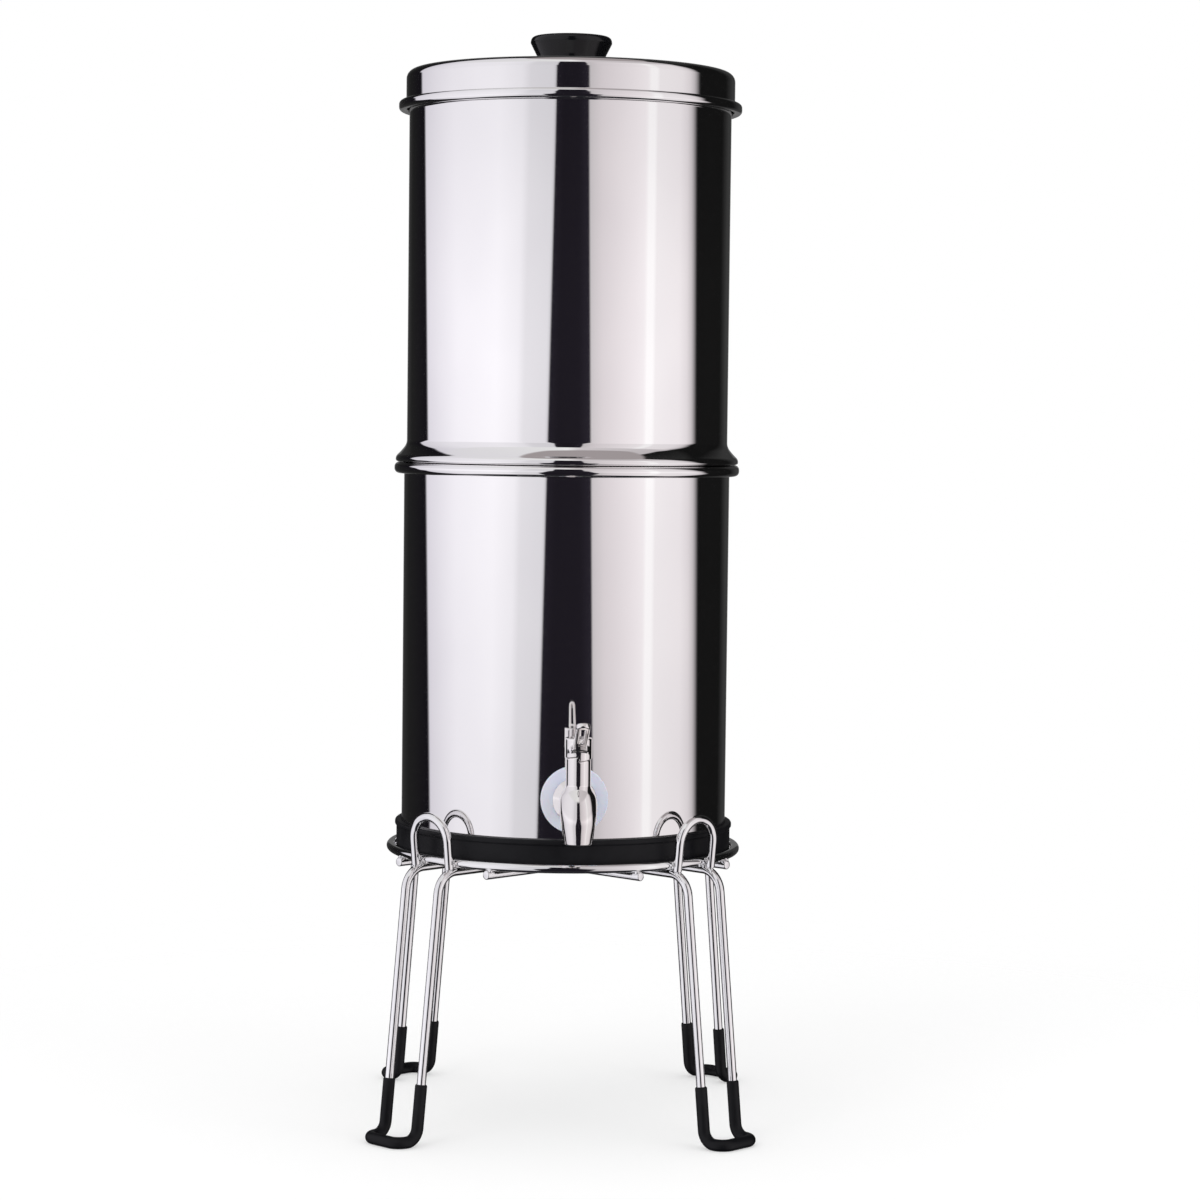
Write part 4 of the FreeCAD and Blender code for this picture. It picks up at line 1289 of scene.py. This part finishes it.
@dataclass
class Stand:
    """The wire stand with its ring, grid, looped legs, hoops and rubber feet."""

    wire: float = 3.0
    ring: float = 117.5
    turn: float = math.radians(-3.4)
    half_top: float = 15.6
    half_foot: float = 15.4
    shoulder: float = 129.7
    splay: float = math.radians(6.2)
    shoulder_bend: float = 15.0
    heel_bend: float = 9.0
    toe_bend: float = 7.5
    toe_straight: float = 0.4
    sleeve: float = 4.0
    sleeve_height: float = 40.0
    sole: float = 3.5
    chord: float = 42.0
    overhang: float = 4.0
    hoop_rise: float = 29.5
    hoop_half: float = 16.0
    hoop_lean: float = math.radians(5.7)
    azimuths: tuple[float, ...] = (-135.0, -45.0, 45.0, 135.0)

    def around(self, point: Sequence[float], azimuth: float) -> Point:
        """Turn a point built towards +X to its place in the stand."""
        angle = math.radians(azimuth) + self.turn
        x, y, z = point
        return (x * math.cos(angle) - y * math.sin(angle), x * math.sin(angle) + y * math.cos(angle), z)

    def leg_point(self, z: float, side: int) -> Point:
        """Give a point of the leg's straight splayed run, at a height."""
        down = LEVELS.grid - z
        half = self.half_top + (self.half_foot - self.half_top) * down / (LEVELS.grid - self.sole)
        return (self.shoulder + down * math.tan(self.splay), side * half, z)

    def foot(self) -> list[Point]:
        """Give the heel, toe, toe and heel of a leg's loop."""
        heel = self.leg_point(self.sole, 1)
        reach = self.heel_bend * math.tan((math.pi / 2 - self.splay) / 2)
        toe = heel[0] + reach + self.toe_straight + self.toe_bend
        return [heel, (toe, self.half_foot, self.sole), (toe, -self.half_foot, self.sole),
                self.leg_point(self.sole, -1)]

    def wired(self, shop: Workshop, node: str, azimuth: float, corners: Sequence[Sequence[float]],
              bends: Sequence[float]) -> None:
        """Bend and finish one wire, built towards +X and turned to its place."""
        wire = shop.bent(f"{node}_wire", [self.around(c, azimuth) for c in corners], bends, self.wire,
                         "chrome_wire")
        shop.done(wire, "chrome_wire", Body.STAND, node)

    def leg(self, shop: Workshop, number: int, azimuth: float) -> None:
        """Make one leg from its single wire."""
        root = self.chord + self.wire / 2
        start, end = (root, self.half_top, LEVELS.grid), (root, -self.half_top, LEVELS.grid)
        corners = [start, self.leg_point(LEVELS.grid, 1), *self.foot(), self.leg_point(LEVELS.grid, -1), end]
        bends = [0, self.shoulder_bend, self.heel_bend, self.toe_bend, self.toe_bend, self.heel_bend,
                 self.shoulder_bend, 0]
        self.wired(shop, f"stand_leg_{number}", azimuth, corners, bends)

    def rubber_foot(self, shop: Workshop, number: int, azimuth: float) -> None:
        """Make the rubber sleeve on one leg, worn flat under the toe."""
        start, end = (self.leg_point(self.sleeve_height, side) for side in (1, -1))
        bends = [0, self.heel_bend, self.toe_bend, self.toe_bend, self.heel_bend, 0]
        corners = [self.around(c, azimuth) for c in (start, *self.foot(), end)]
        tube = shop.bent(f"foot_sleeve_{number}_rubber", corners, bends, self.sleeve, "black_rubber",
                         capped=False)
        for vertex in tube.data.vertices:
            vertex.co.z = max(vertex.co.z, 0.0)
        shell = tube.modifiers.new("wall", "SOLIDIFY")
        shell.thickness = (self.sleeve - self.wire - 0.1) * MM * 0.55
        shell.offset = -1
        baked(tube, 60)
        shop.done(tube, "black_rubber", Body.STAND, f"foot_sleeve_{number}")

    def hoop(self, shop: Workshop, number: int, azimuth: float) -> None:
        """Make one hairpin hoop on the outside of the ring."""
        out = math.sqrt(self.ring ** 2 - self.hoop_half ** 2) + 2 * self.wire - 0.3
        foot = LEVELS.grid + self.wire / 2 - LEVELS.ring

        def at(side: int, rise: float) -> Point:
            """Give a point of the hoop at a height above the ring."""
            return (out + rise * math.tan(self.hoop_lean), side * self.hoop_half, LEVELS.ring + rise)

        corners = [at(1, foot), at(1, self.hoop_rise), at(-1, self.hoop_rise), at(-1, foot)]
        bend = self.hoop_half - 0.02
        self.wired(shop, f"stand_hoop_{number}", azimuth, corners, [0, bend, bend, 0])

    def ring_and_grid(self, shop: Workshop) -> None:
        """Make the top ring, and the crossing wires under it."""
        steps = 240
        angles = [2 * math.pi * i / steps for i in range(steps)]
        loop = [(self.ring * math.cos(a), self.ring * math.sin(a), LEVELS.ring) for a in angles]
        ring = shop.bent("stand_ring_wire", loop, [0.0] * steps, self.wire, "chrome_wire", True)
        shop.done(ring, "chrome_wire", Body.STAND, "stand_ring")
        reach = math.sqrt(self.ring ** 2 - self.chord ** 2) + self.overhang
        bars = []
        for azimuth, side in product((45, 135), (-1, 1)):
            ends = [self.around((x, side * self.chord, LEVELS.grid), azimuth) for x in (-reach, reach)]
            bars.append(shop.bent(f"bar_{azimuth}_{side + 1}", ends, [0, 0], self.wire, "chrome_wire"))
        shop.done(joined("stand_grid_wires", bars), "chrome_wire", Body.STAND, "stand_grid")

    def weld_points(self) -> list[Point]:
        """Give the places where wires are welded to each other."""
        level = LEVELS.ring - self.wire
        points = []
        for azimuth, side in product(self.azimuths, (-1, 1)):
            y, hoop_y = side * self.half_top, side * self.hoop_half
            x = math.sqrt(self.ring ** 2 - y ** 2)
            hoop_x = math.sqrt(self.ring ** 2 - hoop_y ** 2) + self.wire
            points += [(x - 1.6, y - 1.6 * side, level, azimuth), (x + 1.7, y - 1.0 * side, level, azimuth),
                       (hoop_x, hoop_y, LEVELS.ring + 1.9, azimuth),
                       (hoop_x + 0.2, hoop_y + 1.2 * side, LEVELS.ring - 1.4, azimuth)]
        reach = math.sqrt(self.ring ** 2 - self.chord ** 2)
        for azimuth, side, end in product((45, 135), (-1, 1), (-1, 1)):
            points += [(end * (reach + out), side * (self.chord + aside), level, azimuth)
                       for out, aside in ((-1.4, -1.2), (1.2, 1.4))]
        return [self.around(p[:3], p[3]) for p in points]

    def build(self, shop: Workshop) -> None:
        """Make and finish every piece of the stand."""
        self.ring_and_grid(shop)
        for number, azimuth in enumerate(self.azimuths, 1):
            self.leg(shop, number, azimuth)
            self.hoop(shop, number, azimuth)
            self.rubber_foot(shop, number, azimuth)
        mesh = bpy.data.meshes.new("stand_weld_beads")
        mesh.from_pydata([tuple(v * MM for v in p) for p in self.weld_points()], [], [])
        beads = placed("stand_weld_beads", mesh)
        shop.welds.run(beads, Bead=1.7 * MM, Material=shop.finishes["chrome_wire"])
        shop.done(beads, "chrome_wire", Body.STAND)


def joined(name: str, parts: Sequence[Piece]) -> Piece:
    """Join pieces into the first of them and name it."""
    with bpy.context.temp_override(active_object=parts[0], object=parts[0], selected_objects=list(parts),
                                   selected_editable_objects=list(parts)):
        bpy.ops.object.join()
    parts[0].name = parts[0].data.name = name
    return parts[0]


# Studio


def panel_colour(bearing: float, light: float, warmth: float = 0.0) -> tuple[float, float, float, float]:
    """Give the colour of one stop of what the steel mirrors round the room.

    Args:
        bearing: Degrees from straight ahead of the filter, positive to its left; not used.
        light: How bright the room is there.
        warmth: How far it leans to pink, or to blue where negative.

    Returns:
        The stop's colour.
    """
    warm, cool = max(warmth, 0.0), max(-warmth, 0.0)
    return (light * (1 - cool), light * (1 - warm - cool * 1.6), light * (1 - warm * 0.55), 1)


@dataclass
class Studio:
    """The room, the lamps, the floor and the camera.

    Attributes:
        reach: The height of a ray up to which the panels' leans and falloff go.
        lean_scale: What the leans are divided by, to lie on a grey ramp.
        panels: Bearing, light and warmth of what level rays meet.
        tops: The same for steep rays.
        falloff: How much of the panels' light is left from the lowest to the highest ray.
        leans: How far the panels lean at each bearing, in degrees.
    """

    camera_turn: float = 3.7
    distance: float = 2247.0
    height: float = 481.0
    lens: float = 99.0
    heading: float = 0.6
    pitch: float = 3.30
    roll: float = 0.65
    reach: float = 0.14
    lean_scale: float = 200.0
    panels: Stops = (
        (-180, 0.16), (-169, 0.16), (-166, 0.04), (-150, 0.016), (-120, 0.010, -0.2), (-118, 0.86, -0.05),
        (-85, 1.05, -0.035), (-52, 1.09, -0.03), (-36, 1.01, -0.03), (-31, 0.88, -0.03), (-14.2, 0.84, -0.03),
        (-13.2, 0.022, -0.2), (-6, 0.016, -0.2), (8, 0.017, -0.2), (15.6, 0.028, -0.2), (16.6, 0.66, 0.05),
        (25, 0.79, 0.07), (48, 0.96, 0.06), (55.5, 1.02, 0.05), (57.5, 1.12, 0.02), (62.5, 1.12, 0.02),
        (64.5, 1.0, 0.04), (86, 0.96, 0.05), (94, 0.84, 0.06), (99, 0.62, 0.06), (104.5, 0.008),
        (140, 0.008), (155, 0.045), (166, 0.045), (169, 0.16))
    tops: Stops = (
        (-180, 0.012), (-121, 0.010, -0.2), (-119, 0.76, -0.03), (-20, 0.80), (0, 0.88), (20, 0.62, 0.06),
        (103, 0.54, 0.06), (105, 0.008), (150, 0.03), (179, 0.012))
    falloff: Stops = ((0.0, 0.86), (0.12, 0.88), (0.45, 0.97), (0.55, 1.0), (0.64, 0.97), (0.85, 0.86),
                      (1.0, 0.83))
    leans: Stops = ((-160, 0), (-135, 84), (-110, 84), (-60, 0), (-25, -36), (-10, -36), (10, 36), (25, 36),
                    (60, 0), (95, 35), (125, 35), (150, 0))

    def room(self) -> None:
        """Make the room: white to the camera, plain to matt things, and panels to the steel."""
        world = bpy.context.scene.world = bpy.data.worlds.new("plain_room")
        graph = emptied(world)
        maths, mix, ramp = graph.maths, graph.mix, graph.ramp

        def grey(level: float) -> tuple[float, float, float, float]:
            """Give a grey."""
            return (level, level, level, 1)

        def around(bearing: float) -> float:
            """Give the place of a bearing on a ramp."""
            return (bearing + 180) / 360

        ray = graph.node("ShaderNodeTexCoord").outputs["Generated"]
        east, north, up = graph.node("ShaderNodeSeparateXYZ", None, ray).outputs
        bearing = maths("ARCTAN2", east, maths("MULTIPLY", north, -1.0))
        share = maths("ADD", maths("DIVIDE", bearing, 2 * math.pi), 0.5 + self.camera_turn / 360)
        share = maths("FRACT", share)
        lean = ramp(share, [(around(at), grey(0.5 + by / self.lean_scale)) for at, by in self.leans])
        height = maths("MINIMUM", maths("MAXIMUM", up, -self.reach), self.reach)
        shift = maths("MULTIPLY", maths("SUBTRACT", lean, 0.5), height)
        shift = maths("MULTIPLY", shift, self.lean_scale / 360)
        share = maths("ADD", share, shift)
        low, high = (ramp(share, [(around(panel[0]), panel_colour(*panel)) for panel in row])
                     for row in (self.panels, self.tops))
        level = maths("ADD", maths("MULTIPLY", height, 0.5 / self.reach), 0.5)
        low = mix(1.0, low, ramp(level, [(at, grey(light)) for at, light in self.falloff]), "MULTIPLY")
        mirrored = mix(ramp(up, [(0.66, grey(0)), (0.72, grey(1))]), low, high)
        below = ramp(maths("MULTIPLY", up, -1.0), [(0.72, grey(0)), (0.82, grey(1))])
        mirrored = mix(below, mirrored, (0.02, 0.02, 0.024, 1))
        cap = graph.node("ShaderNodeVectorMath", {"operation": "DOT_PRODUCT"}, ray, (0.103, 0.018, 0.9945))
        mirrored = mix(ramp(cap.outputs["Value"], [(0.925, grey(0)), (0.935, grey(1))]), mirrored,
                       (0.36, 0.325, 0.33, 1))
        path = graph.node("ShaderNodeLightPath").outputs
        seen = maths("MAXIMUM", path["Is Glossy Ray"], path["Is Transmission Ray"])
        colour = mix(path["Is Camera Ray"], mix(seen, grey(0.92), mirrored), grey(1.0))
        back = graph.node("ShaderNodeBackground", None, colour)
        graph.node("ShaderNodeOutputWorld", None, back.outputs[0])

    def lamp(self, name: str, place: Sequence[float], size: float, power: float) -> None:
        """Hang a soft lamp that points at the filter, and that steel doesn't mirror."""
        data = bpy.data.lights.new(name, "AREA")
        data.shape, data.size, data.energy = "DISK", size, power
        obj = placed(name, data)
        obj.location = place
        obj.rotation_euler = (Vector((0, 0, 0.35)) - Vector(place)).to_track_quat("-Z", "Y").to_euler()
        obj.visible_glossy = obj.visible_camera = False

    def floor(self) -> None:
        """Lay a round pale floor that fades into the room, and that steel doesn't mirror."""
        steps, radii = 96, (300, 600, 950)
        angles = np.arange(steps) * math.tau / steps
        verts = [(0.0, 0.0, FLOOR)]
        verts += [(r * math.cos(a), r * math.sin(a), FLOOR) for r in radii for a in angles]
        ring = [(1 + i, 1 + (i + 1) % steps) for i in range(steps)]
        faces = [(0, a, b) for a, b in ring]
        faces += [(a + k, a + k + steps, b + k + steps, b + k) for k in (0, steps) for a, b in ring]
        floor = new_object("floor", np.array(verts), faces)
        material = bpy.data.materials.new("pale_floor")
        graph = emptied(material)
        away = graph.node("ShaderNodeVectorMath", {"operation": "LENGTH"},
                          graph.node("ShaderNodeTexCoord").outputs["Object"])
        fade = graph.node("ShaderNodeMapRange", {"interpolation_type": "SMOOTHSTEP"},
                          away.outputs["Value"], 0.40, 0.92)
        path = graph.node("ShaderNodeLightPath").outputs
        matt = graph.node("ShaderNodeBsdfDiffuse", Color=(0.62, 0.62, 0.62, 1))
        lift = graph.maths("MULTIPLY", path["Is Camera Ray"], 0.40)
        glow = graph.node("ShaderNodeEmission", Strength=lift)
        both = graph.node("ShaderNodeAddShader", None, matt.outputs[0], glow.outputs[0])
        share = graph.maths("MAXIMUM", fade.outputs["Result"], path["Is Glossy Ray"])
        clear = graph.node("ShaderNodeBsdfTransparent")
        shown = graph.node("ShaderNodeMixShader", None, share, both.outputs[0], clear.outputs[0])
        graph.node("ShaderNodeOutputMaterial", None, shown.outputs[0])
        floor.data.materials.append(material)

    def camera(self) -> None:
        """Set the camera at the photograph's place."""
        data = bpy.data.cameras.new("camera")
        data.lens, data.sensor_width, data.clip_start, data.clip_end = self.lens, 36, 0.1, 50
        angles = (self.camera_turn, self.pitch, self.heading, self.roll)
        turn, pitch, heading, roll = map(math.radians, angles)
        obj = bpy.context.scene.camera = placed("camera", data)
        obj.location = MM * Vector((-math.sin(turn) * self.distance, -math.cos(turn) * self.distance,
                                    self.height))
        aim = Euler((math.pi / 2 - pitch, 0, -turn - heading), "XYZ").to_matrix()
        obj.rotation_euler = (aim @ Matrix.Rotation(roll, 3, "Z")).to_euler()

    def build(self) -> None:
        """Make the room, floor, lamps and camera."""
        bpy.context.scene.view_settings.view_transform = "Standard"
        self.room()
        self.floor()
        self.lamp("key", (-1.4, -1.6, 1.9), 1.2, 9)
        self.lamp("fill", (1.5, -1.3, 1.1), 1.2, 5)
        self.camera()


def main() -> None:
    """Build the filter and its studio."""
    logging.basicConfig(level=logging.INFO, format="%(name)s %(message)s")
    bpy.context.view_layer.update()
    shop = Workshop()
    for part in (Stand(), LowerTank(), UpperTank(), Lid(), Tap(), TapHandle()):
        part.build(shop)
        log.info("%s built", type(part).__name__)
    Studio().build()
    bpy.context.view_layer.update()


if __name__ == "__main__":
    main()
